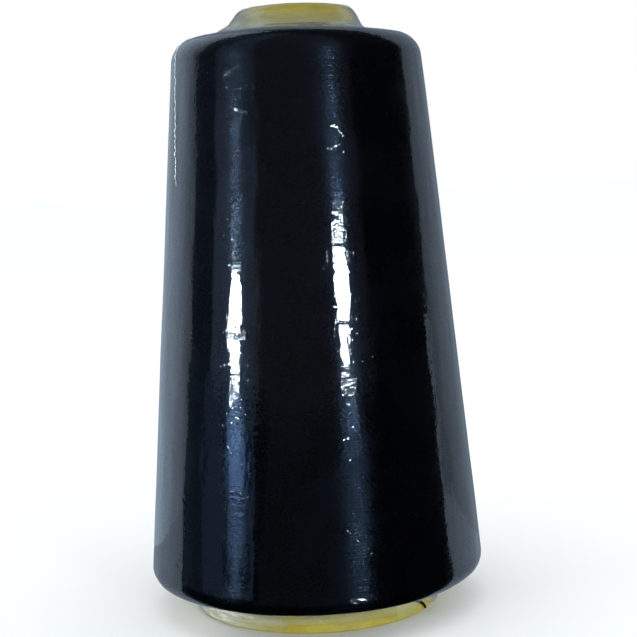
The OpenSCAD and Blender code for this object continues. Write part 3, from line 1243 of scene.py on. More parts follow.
@dataclass
class OuterWinding:
    """The outer layers of thread, laid to and fro as one strand.

    Up strokes and down strokes lie in layers of their own, a pair for each group. The
    strand reverses over a part of a turn, at most stagger from the end of its course, and
    both its ends dive into the body.
    """

    thread: ThreadPackage
    strokes: int = 42
    turns: float = 12.0
    rings: int = 48
    width: float = 0.8
    depth: float = 0.16
    layer: float = 0.015
    groups: int = 3
    proud: float = 0.06
    edge_wrap: float = 84.0
    shoulder_wrap: float = 87.0
    reversal: float = 0.2
    stagger: float = 0.45
    seed: int = 31
    start: float = Side.BACK.value
    dive: float = 0.12
    dive_depth: float = 2.0

    @property
    def stroke_turns(self) -> float:
        """Turns in one stroke, with the shift that spreads the strokes round the cone."""
        return self.turns + 1.0 / self.strokes

    def course(self, stroke: np.ndarray, part: np.ndarray, length: float) -> np.ndarray:
        """Distance of the strand up the thread's outline.

        Args:
            stroke: Number of the stroke at each point.
            part: Share of the stroke that is done.
            length: Length of the outline.

        Returns:
            The distance at each point.
        """
        up = stroke % 2 == 0
        climb = np.where(up, part, 1 - part)
        near_end = np.minimum(part, 1 - part) * self.stroke_turns
        soft = (self.reversal - near_end) ** 2 / (2 * self.reversal)
        soft = np.where(near_end < self.reversal, soft, 0.0)
        turns = climb * self.stroke_turns + np.where(climb < 0.5, soft, -soft)
        ends = np.random.default_rng(self.seed).uniform(0.0, self.stagger, self.strokes + 1)
        before, after = ends[stroke.astype(int)], ends[stroke.astype(int) + 1]
        low, high = np.where(up, before, after), np.where(up, after, before)
        return low + (length - low - high) * turns / self.stroke_turns

    def sink(self, stroke: np.ndarray, part: np.ndarray) -> np.ndarray:
        """Depth of the strand's centre under the thread's surface, by its layer.

        Args:
            stroke: Number of the stroke at each point.
            part: Share of the stroke that is done.

        Returns:
            The depth at each point.
        """
        near_end = np.minimum(part, 1 - part) * self.stroke_turns
        level = 2 * np.floor(stroke / (self.strokes / self.groups)) + stroke % 2
        level = level - 0.5 * (1 - smoothstep(0.0, 2 * self.reversal, near_end))
        top = 2 * self.groups - 1
        return self.depth / 2 - self.proud + (top - level) * self.layer

    def path(self) -> tuple[np.ndarray, np.ndarray]:
        """The strand's centreline and the outward direction along it.

        Returns:
            Points and unit directions.
        """
        total = self.strokes * self.stroke_turns
        turn = np.arange(round(total * self.rings) + 1) / self.rings
        stroke = np.minimum(np.floor(turn / self.stroke_turns), self.strokes - 1)
        part = turn / self.stroke_turns - stroke
        edge = self.thread.edge_arc(wrap=self.edge_wrap)
        section = np.concatenate([edge, self.thread.shoulder_arc(wrap=self.shoulder_wrap)])
        point, normal = along(section, self.course(stroke, part, span(section)))
        ends = smoothstep(0.0, self.dive, turn) * smoothstep(0.0, self.dive, total - turn)
        sink = self.sink(stroke, part) + (1 - ends) * self.dive_depth
        azimuth = math.radians(self.start) + 2 * math.pi * turn
        radius, height = (point - normal * sink[:, None]).T
        centre = around(azimuth, *self.thread.settle(azimuth, radius, height))
        return centre, around(azimuth, normal[:, 0], normal[:, 1])

    def build(self, material: bpy.types.Material) -> bpy.types.Object:
        """Makes the strand.

        Args:
            material: Its finish.

        Returns:
            The piece.
        """
        centre, outward = self.path()
        size = np.array([[self.width, self.depth]])
        form = Strand(flat=True)
        return form.sweep("wound_strand", centre, outward, size, Slot.OUTER, material)


@dataclass
class ThreadTail:
    """The thread's starting tail, which runs down the foot of the core.

    It leaves the thread at end - swing and reaches its cut end at end, in degrees from +X.
    At the cut end the plies spread by fray and thin by taper.
    """

    core: ConeCore
    thread: ThreadPackage
    width: float = 0.6
    gap: float = 0.03
    end: float = -31.0
    swing: float = 34.0
    end_z: float = 0.6
    tuck: float = 0.08
    top_gap: float = 0.02
    plies: int = 3
    pitch: float = 1.5
    ply_share: float = 0.52
    flatter: float = 1.5
    side_spread: float = 1.6
    fray: float = 0.5
    fray_length: float = 1.2
    taper: float = 0.35
    taper_length: float = 0.8
    rings: int = 220
    form: Strand = Strand(sides=6)

    def path(self) -> np.ndarray:
        """The tail's centreline, from under the thread to its cut end.

        Returns:
            Its points.
        """
        part = np.linspace(-self.tuck, 1.0, self.rings)
        run = np.clip(part, 0, 1)
        top = self.thread.low_z + self.thread.winding - self.top_gap - self.width
        height = top - (top - self.end_z) * run
        height = np.where(part < 0, top - part / self.tuck * self.width, height)
        azimuth = np.radians(self.end - self.swing * (1 - smoothstep(0.0, 1.0, run)))
        off = (self.gap + self.width / 2) / math.cos(self.core.taper)
        return around(azimuth, self.core.radius(np.minimum(height, top)) + off, height)

    def build(self, material: bpy.types.Material) -> "list[bpy.types.Object]":
        """Makes the twisted plies, which fray at the cut end.

        Args:
            material: Their finish.

        Returns:
            The pieces.
        """
        centre = self.path()
        across, lift = frame_along(centre, unit(centre * (1, 1, 0)))
        run = distances(centre)
        ply = self.width * self.ply_share
        thin = 1 - self.taper * smoothstep(run[-1] - self.taper_length, run[-1], run)
        size = thin[:, None] * np.array([self.flatter * ply, ply])
        frayed = 1 + self.fray * smoothstep(run[-1] - self.fray_length, run[-1], run)
        spread = (self.width - ply) / 2 * frayed
        pieces = []
        for k in range(self.plies):
            turn = 2 * math.pi * (run / self.pitch + k / self.plies)
            aside, out = self.side_spread * spread * np.cos(turn), spread * np.sin(turn)
            way = centre + (across * aside[:, None] + lift * out[:, None])
            name = f"tail_ply_{k + 1}"
            pieces.append(self.form.sweep(name, way, lift, size, Slot.OUTER, material))
        return pieces


def sleeve_radius(height: float) -> float:
    """Rough radius of the sleeve at a height, from its lower to its upper end."""
    return float(np.interp(height, [10, 160], [48, 35]))


@dataclass(frozen=True)
class Crease:
    """A sharp crease in the film.

    start and end are (degrees from +X, height). It stands by height, bows aside by bow,
    fades out beyond its ends over fade, and width is half its width.
    """

    start: Pair
    end: Pair
    height: float = 0.05
    bow: float = 0.0
    fade: float = 2.0
    width: float = 0.22
    ease: float = 0.5

    def trace(self, azimuth: np.ndarray, height: np.ndarray) -> tuple[np.ndarray, np.ndarray]:
        """Signed distance from the crease and how much of it there is.

        Args:
            azimuth: Azimuths of the film's vertices, in radians.
            height: Their heights.

        Returns:
            The distance and the share, from 0 to 1, for each vertex.
        """
        side = bearing(azimuth, self.start[0])
        radius = sleeve_radius((self.start[1] + self.end[1]) / 2)
        x, z = np.radians(side) * radius, height - self.start[1]
        swing = (self.end[0] - self.start[0] + 180) % 360 - 180
        reach = np.array([math.radians(swing) * radius, self.end[1] - self.start[1]])
        length = float(np.linalg.norm(reach))
        way = reach / length
        part = x * way[0] + z * way[1]
        bow = self.bow * np.sin(np.clip(part / length, 0, 1) * math.pi)
        share = smoothstep(-self.fade, self.ease, part)
        share = share * (1 - smoothstep(length - self.ease, length + self.fade, part))
        return -x * way[1] + z * way[0] - bow, share * (np.abs(side) < 90)


@dataclass(frozen=True)
class ScatteredCreases:
    """Small creases all over the sleeve but for its front.

    Ranges are where a crease starts, how long it is and how high it stands. tilt and bow
    are rms values.
    """

    count: int = 26
    seed: int = 77
    heights: Pair = (16.0, 156.0)
    tilt: float = 40.0
    lengths: Pair = (4.0, 15.0)
    bow: float = 0.5
    depths: Pair = (0.02, 0.06)
    front: float = 50.0

    def build(self) -> "list[Crease]":
        """Draws the creases by the seed.

        Returns:
            The creases.
        """
        rng = np.random.default_rng(self.seed)
        found = []
        while len(found) < self.count:
            side, height = rng.uniform(-180, 180), rng.uniform(*self.heights)
            tilt, length = math.radians(rng.normal(0, self.tilt)), rng.uniform(*self.lengths)
            bow, depth = rng.normal(0, self.bow), rng.uniform(*self.depths)
            if abs((side - Side.FRONT.value + 180) % 360 - 180) >= self.front:
                swing = math.degrees(length * math.cos(tilt) / sleeve_radius(height))
                end = (side + swing, height + length * math.sin(tilt))
                found.append(Crease((side, height), end, depth, bow))
        return found


@dataclass(frozen=True)
class Rise:
    """A stretch of the hem that has drawn up the foot.

    start and end are pairs of degrees to the right of the front: where it begins and is
    whole, and where it begins to end and has ended.
    """

    height: float
    start: Pair
    end: Pair

    def over(self, side: np.ndarray) -> np.ndarray:
        """How far it lifts the hem in each direction."""
        return self.height * (smoothstep(*self.start, side) * (1 - smoothstep(*self.end, side)))


@dataclass(frozen=True)
class FilmHaze:
    """Milky places of the sleeve, over the foot and in the folds above the thread.

    A range is where an effect begins and is whole: distances up from the hem, or degrees
    to the right of the front where its name ends in side. Past the hollow below the
    thread the haze of the foot fades over past_middle.
    """

    least: float = 0.01
    most: float = 0.85
    upward: float = 0.42
    upward_range: Pair = (0.6, 8.5)
    left: float = 0.45
    left_side: Pair = (-18.0, -52.0)
    left_end: float = -150.0
    near: float = 0.05
    near_side: Pair = (-14.0, -18.0)
    patchy: float = 0.05
    patchy_range: Pair = (0.5, 4.0)
    patches: Ripples = Ripples(1.0, 5, 15, 12.0)
    past_middle: Pair = (4.0, 9.0)
    folds: float = 0.16
    folds_patchy: float = 0.1
    spanning: float = 0.16
    clear: float = 0.95
    clear_width: float = 9.0
    clear_reach: float = 6.5
    # Painted shadow: the film over the front of the foot is drawn darker under the thread.
    shade: float = 2.0
    shade_range: Pair = (1.6, 6.0)
    shade_side: Pair = (22.0, 38.0)

    def patch(self, azimuth: np.ndarray, distance: np.ndarray) -> np.ndarray:
        """Uneven patches, from 0 to 1."""
        return 0.5 + 0.5 * np.clip(self.patches.over(azimuth, distance), -1, 1)

    def at_left(self, side: np.ndarray) -> np.ndarray:
        """Share of the haze at the front left."""
        return smoothstep(*self.left_side, side) * (side > self.left_end)

    def over_foot(self, side: np.ndarray, distance: np.ndarray, patch: np.ndarray) -> np.ndarray:
        """Milkiness of the film over the foot.

        Args:
            side: Degrees to the right of the front.
            distance: Distance of each vertex along the section.
            patch: The uneven patches.

        Returns:
            The milkiness at each vertex.
        """
        milk = self.least + self.upward * smoothstep(*self.upward_range, distance)
        milk = milk + self.left * self.at_left(side)
        milk = milk + self.near * smoothstep(*self.near_side, side)
        return milk + self.patchy * patch * smoothstep(*self.patchy_range, distance)

    def shaded(self, side: np.ndarray, distance: np.ndarray) -> np.ndarray:
        """Painted shadow on the film over the front of the foot, under the thread.

        Args:
            side: Degrees to the right of the front.
            distance: Distance of each vertex along the section.

        Returns:
            The painted shadow at each vertex.
        """
        front = (1 - self.at_left(side)) * (1 - smoothstep(*self.shade_side, side))
        return self.shade * smoothstep(*self.shade_range, distance) * front


@dataclass
class FilmSleeve:
    """The clear sleeve shrunk over the cone.

    It hugs the thread, spans the hollow above it more or less freely, and ends in a hem
    over the foot that gives way to the thread's tail at clear_side.
    """

    core: ConeCore
    thread: ThreadPackage
    thickness: float = 0.1
    gap: float = 0.12
    nose_gap: float = 0.3
    foot_z: float = 0.8
    foot_fillet: float = 5.0
    nose_fillet: float = 3.0
    nose_wrap: float = 60.0
    tail_room: float = 0.66
    spacing: "tuple[Pair, ...]" = ((24.5, 0.5), (138.0, 0.95), (60.0, 0.5))
    columns: int = 304
    clear_side: float = -34.0
    notch: float = 2.6
    notch_width: float = 6.0
    rises: "tuple[Rise, ...]" = (
        Rise(1.7, (-17.0, -15.0), (24.0, 44.0)),
        Rise(1.1, (110.0, 118.0), (150.0, 168.0)),
    )
    hem_reach: float = 9.0
    ragged: Ripples = Ripples(0.18, 30, 8)
    tent_start: float = 2.2
    tent_end: float = 2.0
    tent_sag: float = 0.25
    tent_least: float = 0.42
    tent_more: float = 0.53
    tent_side: Pair = (-0.45, 0.95)
    tent_uneven: Ripples = Ripples(0.1, 5, 21)
    waves: "tuple[Ripples, ...]" = (
        Ripples(0.05, 7, 1, 150.0),
        Ripples(0.026, 26, 2, 50.0),
        Ripples(0.005, 55, 3, 22.0),
    )
    deepest: float = -0.09
    tallest: float = 0.12
    pleats: Ripples = Ripples(1.0, 24, 11)
    folds: Ripples = Ripples(1.0, 17, 12, 16.0)
    foot_width: float = 3.2
    foot_lift: float = 0.1
    foot_pleats: float = 0.09
    nose_width: float = 3.6
    nose_up: float = 1.0
    nose_lift: float = 0.08
    nose_folds: float = 0.07
    nose_pleats: float = 0.05
    milky: FilmHaze = FilmHaze()
    creases: "tuple[Crease, ...]" = (
        Crease((-81.0, 136.0), (-74.6, 135.6), 0.17, 0.15, 1.0),
        Crease((-74.2, 135.0), (-72.0, 133.2), 0.14, 0.0, 0.8),
        Crease((-80.5, 104.6), (-73.5, 103.6), 0.09, 0.8, 0.8),
        Crease((-80.0, 85.2), (-71.5, 86.4), 0.06, -0.7, 1.5, 0.4),
        Crease((-123.5, 83.0), (-112.0, 82.3), 0.06, -0.4, 1.0, 0.6),
        Crease((-79.8, 30.6), (-70.8, 22.2), 0.06, 0.2, 2.0),
        Crease((-73.0, 25.0), (-64.5, 16.8), 0.05, -0.3, 2.0),
        Crease((-119.5, 41.0), (-111.5, 39.8), 0.14, 0.4, 0.8),
        Crease((-122.0, 150.2), (-111.0, 153.4), 0.14, 0.3, 1.0),
        Crease((-118.0, 141.6), (-110.0, 139.8), 0.13, 0.2, 1.0),
        Crease((-80.5, 12.3), (-73.5, 11.6), 0.7, 0.1, 1.0, 0.45),
    )
    scattered: ScatteredCreases = ScatteredCreases()
    no_crease: float = 40.0

    def outline(self) -> "dict[Stretch, np.ndarray]":
        """Outline of the film's outer face, by stretch.

        Returns:
            Points of each stretch, from the foot up.
        """
        core, thread, t = self.core, self.thread, self.thickness
        lean = math.degrees(core.taper)
        low = core.hollow_centre(thread.low_z - self.gap, self.foot_fillet, self.tail_room, -1)
        high = core.hollow_centre(thread.high_z + self.gap, self.nose_fillet, self.nose_gap, 1)
        foot_r = core.radius(self.foot_z) + (self.tail_room + t) / math.cos(core.taper)
        nose_r = core.nose_round + self.nose_gap + t
        return {
            Stretch.HEM: np.array([[foot_r, self.foot_z]]),
            Stretch.FOOT_HOLLOW: arc(low, self.foot_fillet - t, 180.0 + lean, 90.0),
            Stretch.EDGE: thread.edge_arc(self.gap + t),
            Stretch.SHOULDER: thread.shoulder_arc(self.gap + t),
            Stretch.NOSE_HOLLOW: arc(high, self.nose_fillet - t, 270.0, 180.0 + lean),
            Stretch.NOSE: arc(core.nose_centre, nose_r, lean, self.nose_wrap),
        }

    def section(self) -> np.ndarray:
        """Outline of the film's outer face, from the foot of the core to its nose."""
        return np.concatenate(list(self.outline().values()))

    def marks(self) -> "dict[Stretch, Pair]":
        """Where each stretch starts and ends, as distances along the section.

        Returns:
            The distances, by stretch.
        """
        run = distances(self.section())
        found, first = {}, 0
        for stretch, points in self.outline().items():
            last = first + len(points) - 1
            found[stretch] = (float(run[first]), float(run[last]))
            first = last + 1
        return found

    def hem(self, azimuth: np.ndarray) -> np.ndarray:
        """How far the film's lower edge has drawn up the foot, in millimetres.

        Args:
            azimuth: Azimuths of the columns.

        Returns:
            The distance at each column.
        """
        side = bearing(azimuth, Side.FRONT.value)
        risen = sum(rise.over(side) for rise in self.rises)
        notch = self.notch * bell(bearing(azimuth, self.clear_side), self.notch_width)
        return np.maximum(np.maximum(risen, notch) + self.ragged.over(azimuth), 0.0)

    def crease_values(self, azimuth: np.ndarray, height: np.ndarray) -> "dict[str, np.ndarray]":
        """What the finish needs to draw the creases: the nearest one at each vertex.

        Args:
            azimuth: Azimuths of the columns.
            height: Heights of the vertices.

        Returns:
            Distance in half widths of the crease, and the crease's height.
        """
        off = np.full(height.shape, self.no_crease)
        tall = np.zeros(height.shape)
        for crease in (*self.creases, *self.scattered.build()):
            gap, share = crease.trace(np.broadcast_to(azimuth, height.shape), height)
            gap = gap / crease.width
            closer = (np.abs(gap) < np.abs(off)) & (share > 0)
            off = np.where(closer, gap, off)
            tall = np.where(closer, share * crease.height, tall)
        return {"crease_offset": off, "crease_height": tall}

    def build(self, material: bpy.types.Material) -> bpy.types.Object:
        """Makes the sleeve as a thin closed wall.

        Args:
            material: Its finish.

        Returns:
            The piece.
        """
        section = self.section()
        run = stations(section, self.spacing, even=True)[:, None]
        azimuth = np.linspace(0, 2 * math.pi, self.columns, endpoint=False)[None, :]
        distance = run + self.hem(azimuth) * np.clip(1 - run / self.hem_reach, 0, 1)
        point, normal = along(section, distance)
        spanning = self.spanning(azimuth, distance)
        point = point + spanning[..., None] * (self.tent(section, distance) - point)
        point = point + normal * self.relief(azimuth, distance)[..., None]
        radius, height = self.thread.settle(azimuth, point[..., 0], point[..., 1])
        values = self.haze(azimuth, distance, spanning) | self.crease_values(azimuth, height)
        return self.close_wall(around(azimuth, radius, height), values, material)

    def tent_ends(self) -> Pair:
        """Where the film leaves the thread's shoulder and where it lands on the nose."""
        marks = self.marks()
        return marks[Stretch.SHOULDER][1] + self.tent_start, marks[Stretch.NOSE][0] + self.tent_end

    def spanning(self, azimuth: np.ndarray, distance: np.ndarray) -> np.ndarray:
        """How far the film spans free above the thread, most of all on the left.

        Args:
            azimuth: Azimuths of the columns.
            distance: Distance of each vertex along the section.

        Returns:
            A share from 0, where it hugs what is under it, to 1, where it is straight.
        """
        start, end = self.tent_ends()
        left = smoothstep(*self.tent_side, np.cos(azimuth - math.radians(Side.LEFT.value)))
        slack = self.tent_least + self.tent_more * left + self.tent_uneven.over(azimuth)
        return np.where((distance > start) & (distance < end), np.clip(slack, 0, 1), 0.0)

    def tent(self, section: np.ndarray, distance: np.ndarray) -> np.ndarray:
        """The film's outline where it is drawn straight from the shoulder to the nose.

        Args:
            section: The film's outline.
            distance: Distance of each vertex along it.

        Returns:
            Points, with a last axis of (radius, height).
        """
        start, end = self.tent_ends()
        first, last = along(section, np.array([start, end]))[0]
        part = np.clip((distance - start) / (end - start), 0, 1)[..., None]
        return first + (last - first) * part - self.tent_sag * np.sin(part * math.pi)

    def foot_middle(self) -> float:
        """Middle of the hollow below the thread."""
        return sum(self.marks()[Stretch.FOOT_HOLLOW]) / 2

    def nose_bell(self, distance: np.ndarray) -> np.ndarray:
        """Share of the folds above the thread, which fade to both sides.

        Args:
            distance: Distance of each vertex along the section.

        Returns:
            The share at each vertex.
        """
        marks = self.marks()
        middle = (marks[Stretch.SHOULDER][1] + marks[Stretch.NOSE][0]) / 2 + self.nose_up
        return bell(distance - middle, self.nose_width)

    def relief(self, azimuth: np.ndarray, distance: np.ndarray) -> np.ndarray:
        """Undulations, dents and pleats of the film.

        Args:
            azimuth: Azimuths of the columns.
            distance: Distance of each vertex along the section.

        Returns:
            The relief, in millimetres.
        """
        relief = sum(wave.over(azimuth, distance) for wave in self.waves)
        relief = np.clip(relief, self.deepest, self.tallest)
        foot = bell(distance - self.foot_middle(), self.foot_width)
        nose = self.nose_bell(distance)
        pleats, folds = self.pleats.over(azimuth), self.folds.over(azimuth, distance)
        relief = relief + foot * (self.foot_lift + self.foot_pleats * pleats)
        puffed = self.nose_lift + self.nose_folds * folds + self.nose_pleats * pleats
        return relief + nose * puffed

    def haze(
        self, azimuth: np.ndarray, distance: np.ndarray, spanning: np.ndarray
    ) -> "dict[str, np.ndarray]":
        """Milky places of the film, and where a painted shade or shadow darkens them.

        Args:
            azimuth: Azimuths of the columns.
            distance: Distance of each vertex along the section.
            spanning: How far each vertex spans free.

        Returns:
            Milkiness from 0 to 1, and painted shade and shadow from 0 to 3.
        """
        marks, milky = self.marks(), self.milky
        side = bearing(azimuth, Side.FRONT.value)
        patch = milky.patch(azimuth, distance)
        below = distance < marks[Stretch.EDGE][0]
        past = 1 - smoothstep(*milky.past_middle, distance - self.foot_middle())
        milk = milky.over_foot(side, distance, patch) * below * past
        folds = milky.folds + milky.folds_patchy * patch
        milk = milk + self.nose_bell(distance) * folds + milky.spanning * spanning
        clear = bell(bearing(azimuth, self.clear_side), milky.clear_width)
        milk = milk * (1 - milky.clear * clear * (distance < milky.clear_reach))
        # Painted shade over the milk above the thread, and a painted shadow under its front edge.
        painted_shade = smoothstep(marks[Stretch.SHOULDER][0], marks[Stretch.NOSE_HOLLOW][0], distance)
        painted_shade = painted_shade + milky.shaded(side, distance) * below
        return {"milk": np.clip(milk, 0, milky.most), "painted_shade": painted_shade}

    def close_wall(
        self,
        outer: np.ndarray,
        values: "dict[str, np.ndarray]",
        material: bpy.types.Material,
    ) -> bpy.types.Object:
        """Adds an inner face of half the density and joins both at the hems.

        Args:
            outer: Vertices of the outer face, by row and column.
            values: Numbers for each outer vertex.
            material: The film's finish.

        Returns:
            The piece.
        """
        rows, columns = outer.shape[:2]
        ahead = np.roll(outer, -1, axis=1) - np.roll(outer, 1, axis=1)
        normal = unit(np.cross(ahead, np.gradient(outer, axis=0)))
        inner = (outer - self.thickness * normal)[::2, ::2]
        few = columns // 2
        base = rows * columns
        faces = quads(rows, columns).tolist()
        faces += (quads(inner.shape[0], few, flip=True) + base).tolist()
        for edge, flip in ((0, False), (rows - 1, True)):
            start, under = edge * columns, base + (edge // 2) * few
            for k in range(few):
                a, b, c = start + 2 * k, start + 2 * k + 1, start + (2 * k + 2) % columns
                p, q = under + k, under + (k + 1) % few
                for face in ((p, b, a), (p, q, b), (q, c, b)):
                    faces.append(list(reversed(face)) if flip else list(face))
        numbers = {
            key: np.concatenate([value.reshape(-1), value[::2, ::2].reshape(-1)])
            for key, value in values.items()
        }
        points = np.concatenate([outer.reshape(-1, 3), inner.reshape(-1, 3)])
        return make_piece("film_sleeve", points, faces, material, numbers)


@dataclass
class SleeveSeam:
    """The crimped, heat-sealed seam that stands on the side of the sleeve.

    It comes down from the shoulder to end_z at side, in degrees from +X, and leans by
    slant. wander holds pairs of a wavelength and how far the seam strays. The pairs
    lifted, widened, thickened and thinned are the least share of a size, and what a crimp
    or the distance from the seam's ends adds to it.
    """

    sleeve: FilmSleeve
    side: float = -159.5
    slant: float = 6.0
    slant_from: float = 157.0
    slant_length: float = 34.0
    width: float = 0.9
    proud: float = 0.3
    rooted: float = 0.2
    end_z: float = 121.5
    step: float = 0.25
    insets: Pair = (2.0, 1.0)
    most_lean: float = 1.3
    crimp: float = 1.8
    crimp_range: Pair = (-0.5, 0.7)
    sway: float = 1.6
    sway_length: float = 2.3
    lifted: Pair = (0.35, 0.65)
    widened: Pair = (0.3, 0.4)
    thickened: Pair = (0.5, 0.5)
    thinned: Pair = (0.2, 0.8)
    wander: "tuple[Pair, ...]" = ((31.0, 0.1), (13.0, 0.1), (5.6, 0.14), (3.1, 0.16))
    wander_range: Pair = (0.7, 1.3)
    most_phase: float = 6.0
    seed: int = 9
    fade: float = 3.0
    form: Strand = Strand(sides=8)

    def strays(self, run: np.ndarray) -> np.ndarray:
        """How far the seam strays from its line, in millimetres.

        Args:
            run: Distances along the section.

        Returns:
            The distance at each point.
        """
        rng = np.random.default_rng(self.seed)
        total = np.zeros(run.shape)
        for wave, size in self.wander:
            size = rng.uniform(*self.wander_range) * size
            total += size * np.sin(run * 2 * math.pi / wave + rng.uniform(0, self.most_phase))
        return total

    def build(self, material: bpy.types.Material) -> bpy.types.Object:
        """Makes the seam.

        Args:
            material: Its finish.

        Returns:
            The piece.
        """

        def share(pair: Pair, value: np.ndarray) -> np.ndarray:
            """A least share and what the value adds to it."""
            return pair[0] + pair[1] * value

        section, marks = self.sleeve.section(), self.sleeve.marks()
        low, high = marks[Stretch.EDGE][0] + self.insets[0], marks[Stretch.SHOULDER][1]
        run = np.arange(low, high - self.insets[1], self.step)
        run = run[along(section, run)[0][:, 1] > self.end_z]
        point, normal = along(section, run)
        sway = self.sway * np.sin(run / self.sway_length)
        crimp = np.sin(run * 2 * math.pi / self.crimp + sway)
        crimp = smoothstep(*self.crimp_range, crimp)
        lean = np.clip((self.slant_from - point[:, 1]) / self.slant_length, 0.0, self.most_lean)
        azimuth = np.radians(self.side + self.slant * lean) + self.strays(run) / point[:, 0]
        root = self.sleeve.thickness * self.rooted
        lift = root + (self.proud - root) * share(self.lifted, crimp) / 2
        radius, height = (point + normal * lift[:, None]).T
        centre = around(azimuth, *self.sleeve.thread.settle(azimuth, radius, height))
        outward = around(azimuth, normal[:, 0], normal[:, 1])
        ends = smoothstep(0, self.fade, run - run[0]) * smoothstep(0, self.fade, run[-1] - run)
        ends = share(self.thinned, ends)
        width = self.width * share(self.widened, crimp) * ends
        depth = self.proud * share(self.thickened, crimp) * ends
        size = np.stack([width, depth], axis=1)
        return self.form.sweep("film_seam", centre, outward, size, Slot.FILM, material)


# ------------------------------------------------------------------------------- studio


@dataclass(frozen=True)
class Lamp:
    """A rectangular lamp, unseen by the camera. Its size is width and height, in metres."""

    name: str
    place: "tuple[float, float, float]"
    target: "tuple[float, float, float]"
    size: Pair
    watts: float
    colour: tuple = (1.0, 1.0, 1.0)
    mirrored: bool = False

    def build(self) -> None:
        """Hangs the lamp in its place."""
        light = bpy.data.lights.new(self.name, "AREA")
        light.shape = "RECTANGLE"
        light.size, light.size_y = self.size
        light.color = self.colour
        light.energy = self.watts
        lamp = bpy.data.objects.new(self.name, light)
        lamp.location = self.place
        aim = Vector(self.target) - Vector(self.place)
        lamp.rotation_euler = aim.to_track_quat("-Z", "Y").to_euler()
        lamp.visible_camera = False
        lamp.visible_glossy = self.mirrored
        bpy.context.scene.collection.objects.link(lamp)


@dataclass(frozen=True)
class Panel:
    """A lamp panel that faces the cone and shows in the film's mirror.

    side is its direction in degrees from +X, low and high its edges above the floor.
    """

    name: str
    side: float
    low: float
    high: float
    width: float
    radiance: float
    distance: float = 1.2
    colour: tuple = (0.86, 0.95, 1.0)

    def lamp(self) -> Lamp:
        """The lamp of this panel.

        Returns:
            The lamp.
        """
        angle, middle = math.radians(self.side), (self.low + self.high) / 2
        place = (self.distance * math.cos(angle), self.distance * math.sin(angle), middle)
        size = (self.width, self.high - self.low)
        watts = self.radiance * math.pi * size[0] * size[1]
        return Lamp(self.name, place, (0.0, 0.0, middle), size, watts, self.colour, True)


@dataclass(frozen=True)
class Beam:
    """A soft beam on a level card.

    start is where it fans out from, side its direction in degrees to the right of the
    front and reach how far to each side it fades away.
    """

    start: Pair
    side: float
    reach: float

    def share(self, graph: Graph, axes: "list[Socket]") -> Socket:
        """How bright the beam is.

        Args:
            graph: The card's tree.
            axes: The card's coordinates.

        Returns:
            1 in the beam's middle and 0 outside.
        """
        ahead = graph.math("SUBTRACT", self.start[1], axes[1])
        side = graph.math("ARCTAN2", graph.math("SUBTRACT", axes[0], self.start[0]), ahead)
        side = graph.weigh(side, 180 / math.pi, -self.side)
        off = graph.math("ABSOLUTE", side)
        return graph.remap(off, 0.25 * self.reach, self.reach, 1.0, 0.0)


@dataclass(frozen=True)
class Card:
    """A card that only the film's mirror sees, bright on its front face.

    beside is its brightness near the cone and far its brightness out to its side.
    """

    name: str
    corners: list
    beside: float
    far: float
    colour: tuple = (0.8, 1.0, 1.25, 1.0)
    beam: "Beam | None" = None
    fade: Pair = (0.05, 0.4)

    def build(self) -> None:
        """Makes the card."""
        material, graph = new_material(self.name)
        axes = graph.axes(graph.metres())
        level = graph.remap(graph.math("ABSOLUTE", axes[0]), *self.fade, self.beside, self.far)
        if self.beam:
            level = graph.product(level, self.beam.share(graph, axes))
        face = graph.add("ShaderNodeEmission", {"Color": self.colour, "Strength": level})
        graph.finish(graph.one_sided(face))
        flat = lay_plane(self.name, self.corners, material)
        flat.visible_camera = flat.visible_diffuse = flat.visible_shadow = False
        flat.visible_transmission = flat.visible_volume_scatter = False


def lay_plane(name: str, corners: list, material: bpy.types.Material) -> bpy.types.Object:
    """Makes a flat piece of the stage.

    Args:
        name: Its name.
        corners: Its corners, in metres.
        material: Its finish.

    Returns:
        The object.
    """
    mesh = bpy.data.meshes.new(name)
    mesh.from_pydata(corners, [], [tuple(range(len(corners)))])
    mesh.materials.append(material)
    flat = bpy.data.objects.new(name, mesh)
    bpy.context.scene.collection.objects.link(flat)
    return flat


def level_square(reach: float, height: float) -> list:
    """Corners of a level square.

    Args:
        reach: Half its side.
        height: Its height.

    Returns:
        Its corners, in metres.
    """
    return [(x * reach, y * reach, height) for x, y in ((-1, -1), (1, -1), (1, 1), (-1, 1))]


@dataclass(frozen=True)
class Window:
    """A range of directions with soft ends, in degrees to the right of the front.

    rise is where it begins and is full, and fall where it begins to end and has ended.
    """

    rise: Pair
    fall: Pair

    def share(self, graph: Graph, side: Socket) -> Socket:
        """1 where a direction is inside the range and 0 outside."""
        begun = graph.remap(side, *self.rise)
        return graph.product(begun, graph.remap(side, *self.fall, 1.0, 0.0))


